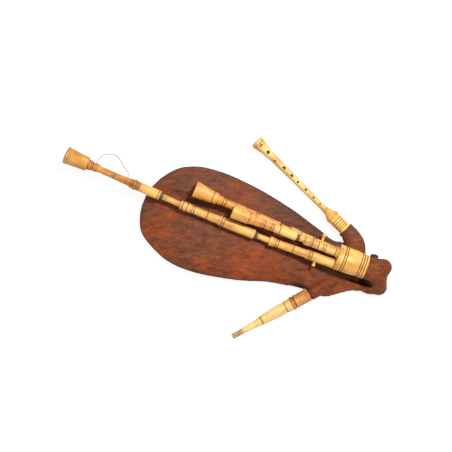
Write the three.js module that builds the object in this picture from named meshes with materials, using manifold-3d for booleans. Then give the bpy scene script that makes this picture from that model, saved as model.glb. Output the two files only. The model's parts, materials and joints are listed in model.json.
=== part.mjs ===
// Small mouth-blown bagpipe lying on a table: a pear-shaped leather bag, three boxwood drones in
// one common stock that lie back over the bag, a chanter on a leather neck, and a blowpipe.
// Millimetres, +Z up, origin under the middle of the footprint, on the table.
//
// Each turned pipe stands in a local frame with +Y along its axis, from its foot to its far end.

import * as THREE from 'three';
import { mergeVertices } from 'three/addons/utils/BufferGeometryUtils.js';
import Module from 'manifold-3d';

const wasm = await Module();
wasm.setup();

// ---- Driving dimensions ---------------------------------------------------------------------

const FOOTPRINT_MIDDLE = new THREE.Vector3(2.9, -1.6, 0);
const GAP = 0.3;
const TURNED_SIDES = 12;
const BORE_SIDES = 8;

const LEATHER = 2.5;
const BELLY_HALF_HEIGHT = 20.5;
const FRONT_HALF_HEIGHT = 12.5;
const BAG_SINK = 3;
const BAG_CENTRE = new THREE.Vector2(60, -20);

const STOCK_FACE = new THREE.Vector3(258, -45.7, 56);
const STOCK_TURN = 69.7;
const STOCK_LENGTH = 72.3;
const STOCK_RADIUS = 31.3;
const STOCK_TENON = { radius: 21, length: 27 };
const SOCKET = { radius: 9.6, depth: 38 };

const CHANTER_PLACE = new THREE.Vector3(282.3, 16.8, 20);
const CHANTER_TURN = 45.1;
const CHANTER_DIP = -0.73;
const CHANTER_STOCK_LENGTH = 65.5;
const CHANTER_LENGTH = 299.5;
const NECK_PIVOT = new THREE.Vector3(304, -20, 20);
const NECK_SWING = [-13, -7, 0, 9];
const NECK = { radius: 16, ballRadius: 18, turn: 30.6, length: 42.8, bore: 10.5, duct: 9, room: 1.2 };

const BLOWPIPE_PLACE = new THREE.Vector3(194.2, -136.9, 17.5);
const BLOWPIPE_TURN = 119.1;

// Tuning tenons: bare wood, the thread wound on its inner end, and the socket that it slides in.
const TENON_RADIUS = 6.9;
const WOUND_SEAT_RADIUS = 6.4;
const WINDING = { inner: 6.7, outer: 7.5, length: 20 };
const TUNING_SOCKET_RADIUS = 7.8;
const DRONE_BORE = 4;

// Foot tenons of the drones, seated in the common stock.
const FOOT = { radius: 8.4, length: 32, windingInner: 8.7, windingOuter: 9.3, windingLength: 18 };

// ---- Finishes -------------------------------------------------------------------------------

const finish = (color, roughness, metalness = 0) => ({ color, roughness, metalness });
const BOXWOOD = finish(0xe6b46a, 0.4);
const ORANGE_WOOD = finish(0xd99545, 0.4);
const PALE_WOOD = finish(0xf0d090, 0.4);
const LEATHER_FINISH = finish(0x7d4630, 0.65);
const WELT_FINISH = finish(0x3f241b, 0.7);
const THREAD = finish(0x3c3226, 0.8);
const GREY_THREAD = finish(0x8a857c, 0.8);
const CANE = finish(0xd8b868, 0.55);
const BRASS = finish(0xb58e45, 0.35, 1);

// ---- Solids ---------------------------------------------------------------------------------

function signedVolume(position, index) {
  const [a, b, c] = [new THREE.Vector3(), new THREE.Vector3(), new THREE.Vector3()];
  let total = 0;
  for (let i = 0; i < index.count; i += 3) {
    a.fromBufferAttribute(position, index.getX(i));
    b.fromBufferAttribute(position, index.getX(i + 1));
    c.fromBufferAttribute(position, index.getX(i + 2));
    total += a.dot(b.cross(c));
  }
  return total / 6;
}

/** A closed geometry as a manifold solid, facing outwards. */
function solid(source) {
  const bare = source.clone();
  bare.deleteAttribute('normal');
  bare.deleteAttribute('uv');
  const merged = mergeVertices(bare, 1e-4);
  const triangles = [];
  const corners = merged.index.array;
  const outward = signedVolume(merged.attributes.position, merged.index) > 0;
  for (let i = 0; i < corners.length; i += 3) {
    const [a, b, c] = [corners[i], corners[i + 1], corners[i + 2]];
    if (a === b || b === c || a === c) continue;
    triangles.push(a, outward ? b : c, outward ? c : b);
  }
  return new wasm.Manifold(new wasm.Mesh({
    numProp: 3,
    vertProperties: new Float32Array(merged.attributes.position.array),
    triVerts: new Uint32Array(triangles),
  }));
}

/** A manifold solid as a three.js geometry. */
function geometryOf(shape) {
  const mesh = shape.getMesh();
  const geometry = new THREE.BufferGeometry();
  geometry.setAttribute('position', new THREE.BufferAttribute(mesh.vertProperties, 3));
  geometry.setIndex(new THREE.BufferAttribute(mesh.triVerts, 1));
  geometry.computeVertexNormals();
  return geometry;
}

/** A turned ring or tube: outline and bore are [radius, height] pairs, both from foot to top. */
function turned(outline, bore, sides = TURNED_SIDES) {
  const ring = [...outline, ...[...bore].reverse(), outline[0]];
  return new THREE.LatheGeometry(ring.map(([radius, y]) => new THREE.Vector2(radius, y)), sides);
}

/** A solid turned body with no bore. */
function turnedSolid(outline, sides = TURNED_SIDES) {
  const [first, last] = [outline[0], outline[outline.length - 1]];
  return turned([[0, first[1]], ...outline, [0, last[1]]], [], sides);
}

const sleeve = (inner, outer, from, to, sides) => turned(
  [[outer, from], [outer, to]],
  [[inner, from], [inner, to]],
  sides,
);

function rod(radius, from, to, sides = BORE_SIDES) {
  const length = to - from;
  return new THREE.CylinderGeometry(radius, radius, length, sides).translate(0, from + length / 2, 0);
}

const degrees = THREE.MathUtils.degToRad;

/** A round tube with eight sides along a smooth path through the points. */
function tubeAlong(points, radius, steps) {
  const section = new THREE.Shape();
  section.absarc(0, 0, radius, 0, 2 * Math.PI);
  return new THREE.ExtrudeGeometry(section, {
    curveSegments: 4,
    steps,
    extrudePath: new THREE.CatmullRomCurve3(points),
  });
}

function addPiece(parent, name, shape, look) {
  const geometry = shape.isBufferGeometry ? geometryOf(solid(shape)) : geometryOf(shape);
  const mesh = new THREE.Mesh(geometry, new THREE.MeshStandardMaterial(look));
  mesh.name = name;
  parent.add(mesh);
  return mesh;
}

/** A group for one pipe: +Y runs along the pipe, turned about Z and dipped about its own X. */
function pipeFrame(parent, place, turn, dip = 0) {
  const frame = new THREE.Group();
  frame.position.copy(place);
  frame.rotation.set(degrees(dip), 0, degrees(turn), 'ZYX');
  parent.add(frame);
  return frame;
}

/** Moves a shape, made in one frame, into the frame of a group that shares its root. */
function carried(shape, from, to) {
  const matrix = to.matrixWorld.clone().invert().multiply(from.matrixWorld);
  return shape.clone().applyMatrix4(matrix);
}

const bagpipes = new THREE.Group();
bagpipes.name = 'bagpipes';
const assembly = new THREE.Group();
assembly.position.copy(FOOTPRINT_MIDDLE).negate();
bagpipes.add(assembly);

// ---- Drones ---------------------------------------------------------------------------------

const droneFrame = pipeFrame(assembly, STOCK_FACE, STOCK_TURN);

// Where each drone leaves the stock's face, and how far it splays from the stock's axis.
// A drone's sections bend a little at their tenons, as long pipes that hang from a stock do.
const DRONES = {
  bass: { at: [-18.7, -1.9], turn: 0.5, dip: 0.1 },
  tenor: { at: [7.7, 17.1], turn: -1.3, dip: 1.9 },
  treble: { at: [11, -15.2], turn: -3.3, dip: 3.0 },
};

/** The wood of a section that carries a foot tenon, a bent tuning tenon, or both. */
function sectionSolid({ outline, length, foot, tenon, bore, socket }) {
  let wood = solid(turnedSolid(outline));
  let hollow = solid(rod(bore, foot ? -FOOT.length - 1 : -1, length + 2));
  if (foot) {
    const footOutline = [
      [FOOT.radius - 1, -FOOT.length],
      [FOOT.radius, -FOOT.length + 2],
      [FOOT.radius, 3],
    ];
    wood = wood.add(solid(turnedSolid(footOutline)));
  }
  if (tenon) {
    const reach = tenon.exposed + tenon.inserted;
    const tenonOutline = [
      [TENON_RADIUS, -3],
      [TENON_RADIUS, tenon.exposed - 5],
      [WOUND_SEAT_RADIUS, tenon.exposed - 4.5],
      [WOUND_SEAT_RADIUS, reach],
    ];
    const lean = (shape) => shape.rotateZ(degrees(tenon.bend)).translate(0, length, 0);
    wood = wood.add(solid(lean(turnedSolid(tenonOutline))));
    hollow = hollow.add(solid(lean(rod(bore, -3, reach + 1))));
  }
  if (socket) hollow = hollow.add(solid(rod(TUNING_SOCKET_RADIUS, -1, socket, TURNED_SIDES)));
  return wood.subtract(hollow);
}

/** The thread wound on a tuning tenon, from just outside the socket to the tenon's end. */
function addWinding(frame, name, tenon) {
  const start = tenon.exposed - 3.5;
  const end = start + WINDING.length;
  addPiece(frame, name, sleeve(WINDING.inner, WINDING.outer, start, end), THREAD);
}

/** Foot thread, cane reed and its bridle for one drone. */
function addFootAndReed(frame, drone) {
  const windingEnd = -4;
  const windingStart = windingEnd - FOOT.windingLength;
  addPiece(frame, `${drone}_foot_winding`,
    sleeve(FOOT.windingInner, FOOT.windingOuter, windingStart, windingEnd), THREAD);
  const reedTop = -FOOT.length + 8;
  const reedEnd = reedTop - 44;
  const tongue = new THREE.BoxGeometry(3, 22, 3).translate(0, reedEnd + 17, 3.4);
  const cane = solid(turned(
    [[3, reedEnd], [3, reedTop]],
    [[0, reedEnd + 3], [1.8, reedEnd + 3], [1.8, reedTop]],
    12,
  )).subtract(solid(tongue));
  addPiece(frame, `${drone}_reed`, cane, CANE);
  addPiece(frame, `${drone}_reed_bridle`,
    sleeve(3.3, 4.2, reedEnd + 29.5, reedEnd + 32.5, 12), THREAD);
}

/** The turned stopcock key through a section: its head stands out on one side. */
function keyOutline({ headRadius, headLength }) {
  const shoulder = 12.4;
  return [
    [2.2, -11],
    [2.9, shoulder - 0.5],
    [headRadius * 0.55, shoulder],
    [headRadius * 0.55, shoulder + 2],
    [headRadius, shoulder + headLength * 0.4],
    [headRadius, shoulder + headLength * 0.75],
    [headRadius * 0.5, shoulder + headLength],
  ];
}

const KEY_HOLE_RADIUS = 3.3;
const KEY_STATION = 45;

function keyHole(side) {
  return rod(KEY_HOLE_RADIUS, -20, 20, 12).rotateZ(degrees(-90 * side)).translate(0, KEY_STATION, 0);
}

function addKey(frame, name, side, head) {
  const key = turnedSolid(keyOutline(head), 14)
    .rotateZ(degrees(-90 * side))
    .translate(0, KEY_STATION, 0);
  addPiece(frame, name, key, ORANGE_WOOD);
}

// Bass drone: bottom, middle and bell sections.
const BASS = {
  bottomLength: 162.3,
  middleLength: 188.1,
  lowerTenon: { exposed: 37.1, inserted: 23, bend: -2.3 },
  upperTenon: { exposed: 51.7, inserted: 23, bend: -1.4 },
  bellLength: 239.5,
};

const bassFrame = pipeFrame(
  droneFrame,
  new THREE.Vector3(DRONES.bass.at[0], 0, DRONES.bass.at[1]),
  DRONES.bass.turn,
  DRONES.bass.dip,
);
const bassBottom = sectionSolid({
  outline: [
    [11.7, 0.6], [11.4, 58], [11.6, 62], [10.6, 68], [9.6, 76], [9.4, 130],
    [9.8, 146], [11.1, 149], [11.1, 160], [9.6, 162.3],
  ],
  length: BASS.bottomLength,
  foot: true,
  tenon: BASS.lowerTenon,
  bore: DRONE_BORE,
}).subtract(solid(keyHole(-1)));
addPiece(bassFrame, 'bass_bottom', bassBottom, BOXWOOD);
addFootAndReed(bassFrame, 'bass');
addKey(bassFrame, 'bass_stop_key', -1, { headRadius: 5, headLength: 10 });

const bassMiddleFrame = pipeFrame(
  bassFrame,
  new THREE.Vector3(0, BASS.bottomLength, 0),
  BASS.lowerTenon.bend,
);
addWinding(bassMiddleFrame, 'bass_lower_winding', BASS.lowerTenon);
const bassMiddlePlace = pipeFrame(
  bassMiddleFrame,
  new THREE.Vector3(0, BASS.lowerTenon.exposed, 0),
  0,
);
addPiece(bassMiddlePlace, 'bass_middle', sectionSolid({
  outline: [
    [11.7, 0], [11.7, 80], [11.2, 84], [10.6, 90], [9.8, 97], [9.6, 150],
    [9.9, 165], [10.9, 168], [10.9, 186], [9.5, 188.1],
  ],
  length: BASS.middleLength,
  tenon: BASS.upperTenon,
  bore: DRONE_BORE,
  socket: 64,
}), BOXWOOD);

const bassBellFrame = pipeFrame(
  bassMiddlePlace,
  new THREE.Vector3(0, BASS.middleLength, 0),
  BASS.upperTenon.bend,
);
addWinding(bassBellFrame, 'bass_upper_winding', BASS.upperTenon);
const bassBellPlace = pipeFrame(
  bassBellFrame,
  new THREE.Vector3(0, BASS.upperTenon.exposed, 0),
  0,
);
addPiece(bassBellPlace, 'bass_bell', turned(
  [
    [11.2, 0], [11.2, 57], [13.7, 60], [13.7, 77], [9.5, 84], [8.3, 116], [7.3, 145], [7.3, 157],
    [10.1, 161], [10.1, 174], [12, 178], [17.1, 189], [19.3, 210], [20.4, 232], [21, 236],
    [21, BASS.bellLength],
  ],
  [
    [TUNING_SOCKET_RADIUS, 0], [TUNING_SOCKET_RADIUS, 77], [DRONE_BORE, 78], [DRONE_BORE, 190],
    [14.5, 200], [17, 222], [18.2, BASS.bellLength],
  ],
), ORANGE_WOOD);

// Tenor and treble drones: a bottom section and a top section with its bell.
const UPPER_DRONES = {
  tenor: {
    bottomLength: 87,
    bottom: [
      [10.8, 1.2], [10.8, 7], [9.6, 10], [9.5, 72], [10.6, 75], [10.6, 85], [9.4, 87],
    ],
    tenon: { exposed: 20, inserted: 21, bend: 0 },
    topLength: 160.4,
    top: [
      [9.8, 0], [9.6, 60], [9.8, 90], [12.2, 93], [12.2, 104], [10.4, 107], [12.4, 110],
      [15.3, 117], [15.9, 140], [16.7, 157], [16.7, 160.4],
    ],
    topBore: [
      [TUNING_SOCKET_RADIUS, 0], [TUNING_SOCKET_RADIUS, 43], [DRONE_BORE, 44], [DRONE_BORE, 120],
      [11.5, 130], [13.6, 146], [14.2, 160.4],
    ],
  },
  treble: {
    bottomLength: 126.7,
    bottom: [
      [10.8, 1.2], [10.8, 7], [9.6, 10], [9.5, 104], [10.8, 107], [10.8, 124], [9.4, 126.7],
    ],
    tenon: { exposed: 26, inserted: 21, bend: 0 },
    topLength: 216,
    top: [
      [9.8, 0], [9.6, 60], [9.2, 130], [10.8, 136], [10.8, 158], [11.5, 161], [15.4, 170],
      [17.6, 192], [19.2, 210], [19.6, 213], [19.6, 216],
    ],
    topBore: [
      [TUNING_SOCKET_RADIUS, 0], [TUNING_SOCKET_RADIUS, 49], [DRONE_BORE, 50], [DRONE_BORE, 172],
      [13, 182], [15.6, 202], [16.8, 216],
    ],
  },
};

for (const [drone, shape] of Object.entries(UPPER_DRONES)) {
  const place = DRONES[drone];
  const frame = pipeFrame(
    droneFrame,
    new THREE.Vector3(place.at[0], 0, place.at[1]),
    place.turn,
    place.dip,
  );
  let bottom = sectionSolid({
    outline: shape.bottom,
    length: shape.bottomLength,
    foot: true,
    tenon: shape.tenon,
    bore: DRONE_BORE,
  });
  if (drone === 'treble') {
    bottom = bottom.subtract(solid(keyHole(1)));
    addKey(frame, 'treble_stop_key', 1, { headRadius: 8, headLength: 16 });
  }
  addPiece(frame, `${drone}_bottom`, bottom, BOXWOOD);
  addFootAndReed(frame, drone);
  const tenonFrame = pipeFrame(frame, new THREE.Vector3(0, shape.bottomLength, 0), 0);
  addWinding(tenonFrame, `${drone}_winding`, shape.tenon);
  const topPlace = pipeFrame(tenonFrame, new THREE.Vector3(0, shape.tenon.exposed, 0), 0);
  addPiece(topPlace, `${drone}_top`, turned(shape.top, shape.topBore), BOXWOOD);
}

// Common stock: three splayed sockets that open into one chamber for the reeds.
bagpipes.updateMatrixWorld(true);
const stockOutline = [
  [STOCK_TENON.radius, -STOCK_LENGTH - STOCK_TENON.length],
  [STOCK_TENON.radius, -STOCK_LENGTH],
  [28.3, -STOCK_LENGTH],
  [28.6, -52],
  [30.2, -20],
  [STOCK_RADIUS, -3],
  [STOCK_RADIUS - 1, 0],
];
const CHAMBER_TOP = -SOCKET.depth;
const chamber = turnedSolid([
  [17.5, -STOCK_LENGTH - STOCK_TENON.length - 1],
  [17.5, -STOCK_LENGTH - 1],
  [24.5, -STOCK_LENGTH + 3],
  [24.5, CHAMBER_TOP + 2],
]);
let stock = solid(turnedSolid(stockOutline, 24)).subtract(solid(chamber));
for (const { at, turn, dip } of Object.values(DRONES)) {
  const socket = rod(SOCKET.radius, -SOCKET.depth - 2, 2, TURNED_SIDES)
    .rotateX(degrees(dip))
    .rotateZ(degrees(turn))
    .translate(at[0], 0, at[1]);
  stock = stock.subtract(solid(socket));
}
const TIE_GROOVE = { depth: 1.4, width: 4 };

/** A groove round a stock's tenon, and the binding cord that lies in it under the leather. */
function tieGroove(tenonRadius, middle) {
  const half = TIE_GROOVE.width / 2;
  return sleeve(tenonRadius - TIE_GROOVE.depth, tenonRadius + 2, middle - half, middle + half, 16);
}

function addTie(frame, name, tenonRadius, middle) {
  const half = TIE_GROOVE.width / 2 - GAP;
  const inner = tenonRadius - TIE_GROOVE.depth + GAP;
  addPiece(frame, name, sleeve(inner, tenonRadius, middle - half, middle + half, 16), THREAD);
}

const stockTieAt = -STOCK_LENGTH - 16;
stock = stock.subtract(solid(tieGroove(STOCK_TENON.radius, stockTieAt)));
addPiece(droneFrame, 'drone_stock', stock, BOXWOOD);
addTie(droneFrame, 'drone_stock_tie', STOCK_TENON.radius, stockTieAt);

// ---- Chanter --------------------------------------------------------------------------------

const chanterFrame = pipeFrame(assembly, CHANTER_PLACE, CHANTER_TURN, CHANTER_DIP);
const CHANTER_TENON = { radius: 12.5, length: 17 };
const chanterTieAt = -9;
const chanterStock = solid(turned(
  [
    [CHANTER_TENON.radius, -CHANTER_TENON.length], [CHANTER_TENON.radius, 0], [15.9, 0],
    [15.9, 38], [14.6, 40], [16.4, 44], [17.4, 52], [16.6, 59], [13, 64],
    [11, CHANTER_STOCK_LENGTH],
  ],
  [[8.5, -CHANTER_TENON.length], [8.5, 36], [8, 38], [8, CHANTER_STOCK_LENGTH]],
)).subtract(solid(tieGroove(CHANTER_TENON.radius, chanterTieAt)));
addPiece(chanterFrame, 'chanter_stock', chanterStock, BOXWOOD);
addTie(chanterFrame, 'chanter_tie', CHANTER_TENON.radius, chanterTieAt);

// Finger and vent holes on the upper side: [distance from the bell's rim, radius, sideways].
const CHANTER_HOLES = [
  [13, 2.2, -2.4],
  [13, 2.2, 2.4],
  [39, 4, 0],
  [65, 2.5, 3.5],
  [92, 4, 0],
  [118, 4, 0],
  [139, 2.5, 0],
  [165, 2.7, 0],
  [191, 2.2, 0],
  [213, 1.9, 0],
];
const chanterFoot = CHANTER_STOCK_LENGTH + GAP;
let chanter = solid(turned(
  [
    [6.2, 38], [6.2, chanterFoot], [7.8, chanterFoot], [7.4, 80], [7.6, 250], [8.6, 270],
    [11, 284], [14.4, 293], [16, 297], [15.9, CHANTER_LENGTH],
  ],
  [[2.6, 38], [3, 120], [4.6, 270], [7.5, 290], [10.5, CHANTER_LENGTH]],
));
for (const [fromRim, radius, sideways] of CHANTER_HOLES) {
  const hole = rod(radius, 0, 12, 8)
    .rotateX(degrees(90))
    .translate(sideways, CHANTER_LENGTH - fromRim, 0);
  chanter = chanter.subtract(solid(hole));
}
addPiece(chanterFrame, 'chanter', chanter, BOXWOOD);
addPiece(chanterFrame, 'chanter_winding', sleeve(6.5, 7.6, 46, 62), THREAD);
addPiece(chanterFrame, 'chanter_reed_staple', sleeve(1.2, 2.3, 22, 48, 12), BRASS);
const blades = solid(turnedSolid([[2.9, 18.5], [3.6, 12], [4.2, 2]], 12).scale(1, 1, 0.45))
  .add(solid(rod(3.3, 18, 26, 12)))
  .subtract(solid(rod(2.6, 20.5, 27, 12)))
  .subtract(solid(new THREE.BoxGeometry(5.4, 30, 0.8).translate(0, 8, 0)));
addPiece(chanterFrame, 'chanter_reed', blades, CANE);
addPiece(chanterFrame, 'chanter_reed_binding', sleeve(3.6, 4.3, 19.5, 25.5, 12), THREAD);

// ---- Blowpipe -------------------------------------------------------------------------------

const blowpipeFrame = pipeFrame(assembly, BLOWPIPE_PLACE, BLOWPIPE_TURN);
const BLOWPIPE_TENON = { radius: 12.5, length: 24 };
const blowpipeTieAt = -13;
const blowpipeStock = solid(turned(
  [
    [BLOWPIPE_TENON.radius, -BLOWPIPE_TENON.length], [BLOWPIPE_TENON.radius, 0], [16, 0],
    [16.4, 30], [16.4, 36], [13.2, 39], [13.2, 42], [16, 44.5], [15.6, 46.7],
  ],
  [[8.6, -BLOWPIPE_TENON.length], [8.6, 46.7]],
)).subtract(solid(tieGroove(BLOWPIPE_TENON.radius, blowpipeTieAt)));
addPiece(blowpipeFrame, 'blowpipe_stock', blowpipeStock, ORANGE_WOOD);
addTie(blowpipeFrame, 'blowpipe_tie', BLOWPIPE_TENON.radius, blowpipeTieAt);
addPiece(blowpipeFrame, 'blowpipe', turned(
  [
    [6.9, 8], [6.9, 47], [11, 47], [12.4, 52], [12.5, 62], [11.8, 66], [12.5, 84], [11.8, 104],
    [10.2, 125.7],
  ],
  [[4, 8], [4, 98], [6.2, 98.5], [6.2, 125.7]],
), PALE_WOOD);
addPiece(blowpipeFrame, 'blowpipe_winding', sleeve(7.2, 8.2, 18, 40), THREAD);
addPiece(blowpipeFrame, 'mouthpiece', turned(
  [[5.8, 100], [5.8, 126], [10.2, 126], [9, 150], [7.2, 176], [5.4, 178.5], [5, 208.5]],
  [[3.2, 100], [2.6, 208.5]],
), PALE_WOOD);
addPiece(blowpipeFrame, 'tip_winding', turned(
  [[7, 179.5], [6.9, 190], [6.3, 191], [6.2, 206]],
  [[5.8, 179.5], [5.5, 206]],
), THREAD);

// Non-return valve: a leather flap on the inner end of the blowpipe, hung from a thread tie.
const VALVE = { radius: 5.6, thickness: 1.2, seat: 7.4, hingeAt: 6.1 };
const flap = solid(rod(VALVE.radius, VALVE.seat - VALVE.thickness, VALVE.seat, 16));
addPiece(blowpipeFrame, 'valve_flap', flap, LEATHER_FINISH);
const tie = new THREE.BoxGeometry(5, 1.4, 0.8).translate(0, VALVE.seat - 0.6, VALVE.hingeAt + 0.5);
addPiece(blowpipeFrame, 'valve_tie', tie, THREAD);

// ---- Bag ------------------------------------------------------------------------------------

// The seam line of the bag, seen from above, from its left end round the upper edge to the
// front lobe and back along the lower edge.
const seamPoints = [
  [-208, 30], [-202, 76], [-178, 120], [-132, 156], [-79, 168], [-10, 153], [75, 114], [156, 65],
  [215, 21], [250, -11], [300, -24], [340, -40], [372, -51], [391, -74], [385, -110], [362, -138],
  [320, -133], [270, -137], [225, -134], [178, -119], [100, -107], [22, -102], [-78, -84],
  [-145, -55], [-194, -6],
];
const seam = new THREE.CatmullRomCurve3(
  seamPoints.map(([x, y]) => new THREE.Vector3(x, y, 0)),
  true,
);
const seamSamples = seam.getSpacedPoints(400);

/** Distance from the bag's centre to its seam in the given direction. */
function seamReach(angle) {
  const along = new THREE.Vector2(Math.cos(angle), Math.sin(angle));
  let best = null;
  for (const point of seamSamples) {
    const offset = new THREE.Vector2(point.x, point.y).sub(BAG_CENTRE);
    const swing = Math.abs(along.angleTo(offset));
    if (best === null || swing < best.swing) best = { swing, reach: offset.length() };
  }
  return best.reach;
}

/** Half the bag's height: a full belly that flattens under the drone stock. */
function bagHalfHeight(x) {
  const flattened = THREE.MathUtils.smoothstep(x, 40, 250);
  return THREE.MathUtils.lerp(BELLY_HALF_HEIGHT, FRONT_HALF_HEIGHT, flattened);
}

/** A pillow inside the seam line, all its walls drawn in by the same amount. */
function pillow(inset) {
  const ball = new THREE.SphereGeometry(1, 36, 8).rotateX(degrees(90));
  const position = ball.attributes.position;
  for (let i = 0; i < position.count; i += 1) {
    const [x, y, z] = [position.getX(i), position.getY(i), position.getZ(i)];
    const spread = Math.pow(Math.hypot(x, y), 0.75);
    const reach = Math.hypot(x, y) < 1e-6 ? 0 : seamReach(Math.atan2(y, x)) - inset;
    const angle = Math.atan2(y, x);
    const px = BAG_CENTRE.x + Math.cos(angle) * reach * spread;
    const py = BAG_CENTRE.y + Math.sin(angle) * reach * spread;
    const half = bagHalfHeight(px);
    const lift = Math.sign(z) * Math.pow(Math.abs(z), 0.8) * (half - inset);
    position.setXYZ(i, px, py, half - BAG_SINK + lift);
  }
  return solid(ball);
}

const LOBE = {
  centre: new THREE.Vector3(346, -92, 46),
  size: new THREE.Vector3(45, 48, 42),
};

const lobe = (inset) => solid(new THREE.SphereGeometry(1, 18, 10)
  .scale(LOBE.size.x - inset, LOBE.size.y - inset, LOBE.size.z - inset)
  .translate(LOBE.centre.x, LOBE.centre.y, LOBE.centre.z));

const placed = (geometry, frame) => solid(carried(geometry, frame, assembly));

bagpipes.updateMatrixWorld(true);

// The leather sleeves round the stocks' tenons, and the clearances that the stocks need.
const droneSleeve = placed(rod(STOCK_TENON.radius + 3, -STOCK_LENGTH - 30, -STOCK_LENGTH - GAP, 24),
  droneFrame);
const blowpipeSleeve = placed(new THREE.CylinderGeometry(16, 20, 62, 20).translate(0, -31 - GAP, 0),
  blowpipeFrame);
const droneClearance = (extra) => placed(
  rod(STOCK_RADIUS + extra, -STOCK_LENGTH - extra, 30, 24),
  droneFrame,
);

/** The room that the leather neck sweeps as the chanter swings. */
function neckClearance(extra) {
  const ball = new THREE.SphereGeometry(NECK.ballRadius + 1 + extra, 16, 8)
    .translate(NECK_PIVOT.x, NECK_PIVOT.y, NECK_PIVOT.z);
  let room = solid(ball);
  for (const swing of NECK_SWING) {
    const sweep = rod(NECK.radius + NECK.room + extra, 0, NECK.length + NECK.room, 12)
      .rotateZ(degrees(NECK.turn + swing))
      .translate(NECK_PIVOT.x, NECK_PIVOT.y, NECK_PIVOT.z);
    room = room.add(solid(sweep));
  }
  return room;
}

// The air's way from the bag into the leather neck.
const airDuct = solid(rod(NECK.duct, -40, 0).translate(NECK_PIVOT.x, NECK_PIVOT.y, NECK_PIVOT.z));

const table = solid(new THREE.BoxGeometry(2000, 2000, 100).translate(0, 0, -50));
const bagOutside = pillow(0)
  .add(lobe(0))
  .add(droneSleeve)
  .add(blowpipeSleeve)
  .subtract(droneClearance(GAP))
  .subtract(neckClearance(0))
  .subtract(table);
const bagInside = pillow(LEATHER)
  .add(lobe(LEATHER))
  .subtract(droneClearance(GAP + LEATHER))
  .subtract(neckClearance(LEATHER))
  .subtract(table.translate([0, 0, LEATHER]))
  .add(placed(rod(STOCK_TENON.radius + GAP, -STOCK_LENGTH - 40, -STOCK_LENGTH + 2, 24), droneFrame))
  .add(placed(rod(BLOWPIPE_TENON.radius + GAP, -66, 2, 20), blowpipeFrame))
  .add(airDuct);
addPiece(assembly, 'bag', bagOutside.subtract(bagInside), LEATHER_FINISH);

// Leather neck of the chanter: a sleeve on the chanter stock that swings in the bag's mouth.
const neckFrame = pipeFrame(assembly, NECK_PIVOT, NECK.turn);
bagpipes.updateMatrixWorld(true);
const neckMouth = placed(rod(15.4, -6, -GAP, 20), chanterFrame);
const stockTenonRoom = placed(
  rod(CHANTER_TENON.radius + GAP, -CHANTER_TENON.length - 1, 1, 20),
  chanterFrame,
);
const stockRoom = placed(rod(24, -GAP, 60, 20), chanterFrame);
const neck = solid(new THREE.SphereGeometry(NECK.ballRadius, 16, 8)
  .translate(NECK_PIVOT.x, NECK_PIVOT.y, NECK_PIVOT.z))
  .add(placed(rod(NECK.radius, 0, NECK.length, 16), neckFrame))
  .add(neckMouth)
  .subtract(stockRoom)
  .subtract(placed(rod(NECK.bore, 0, NECK.length + 5, 20), neckFrame))
  .subtract(stockTenonRoom)
  .subtract(airDuct);
addPiece(assembly, 'chanter_neck', neck, LEATHER_FINISH);

// Welt: the strip sewn along the seam, from the chanter neck round the belly to the blowpipe.
const WELT = { radius: 1.2, offset: 3.4, from: 16, to: 310, spacing: 6 };
const weltPoints = [];
for (let angle = WELT.from; angle <= WELT.to; angle += WELT.spacing) {
  const reach = seamReach(Math.atan2(Math.sin(degrees(angle)), Math.cos(degrees(angle)))) + WELT.offset;
  const x = BAG_CENTRE.x + Math.cos(degrees(angle)) * reach;
  const y = BAG_CENTRE.y + Math.sin(degrees(angle)) * reach;
  weltPoints.push(new THREE.Vector3(x, y, bagHalfHeight(x) - BAG_SINK));
}
addPiece(assembly, 'bag_welt', tubeAlong(weltPoints, WELT.radius, 52), WELT_FINISH);

// ---- Thread loop ----------------------------------------------------------------------------

// A thin thread tied in the groove behind the bass drone's ring and at the neck of its bell.
// It drops from each groove to the table and lies there in one open loop.
const THREAD_RADIUS = 0.4;
const threadPoints = [
  [-231.0, 140.8, 55],
  [-231.2, 143.6, 52],
  [-231.8, 146.4, 42],
  [-232.6, 149.0, 28],
  [-234.4, 151.6, 13],
  [-237.4, 155.6, 3.8],
  [-241.6, 160.6, 1.1],
  [-248.6, 170.6, 0.7],
  [-254.9, 182.6, 0.7],
  [-263.5, 192.6, 0.7],
  [-274.3, 197.4, 0.7],
  [-286.4, 198.4, 0.7],
  [-297.6, 194.8, 0.7],
  [-306.2, 188.6, 1.2],
  [-310.6, 183.0, 5],
  [-310.6, 178.6, 15],
  [-307.6, 175.0, 31],
  [-303.6, 172.2, 45],
  [-299.4, 170.0, 52],
  [-296.1, 167.2, 55],
];
const threadRoute = threadPoints.map(([x, y, z]) => new THREE.Vector3(x, y, z));
addPiece(assembly, 'thread_loop', tubeAlong(threadRoute, THREAD_RADIUS, 44), GREY_THREAD);

export default bagpipes;
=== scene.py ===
"""Looks of a small Renaissance bagpipe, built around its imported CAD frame. Metres, +Z up."""

import json
import math

import bmesh
import bpy
import numpy as np
from mathutils import Matrix, Vector, noise
from mathutils.bvhtree import BVHTree


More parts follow.
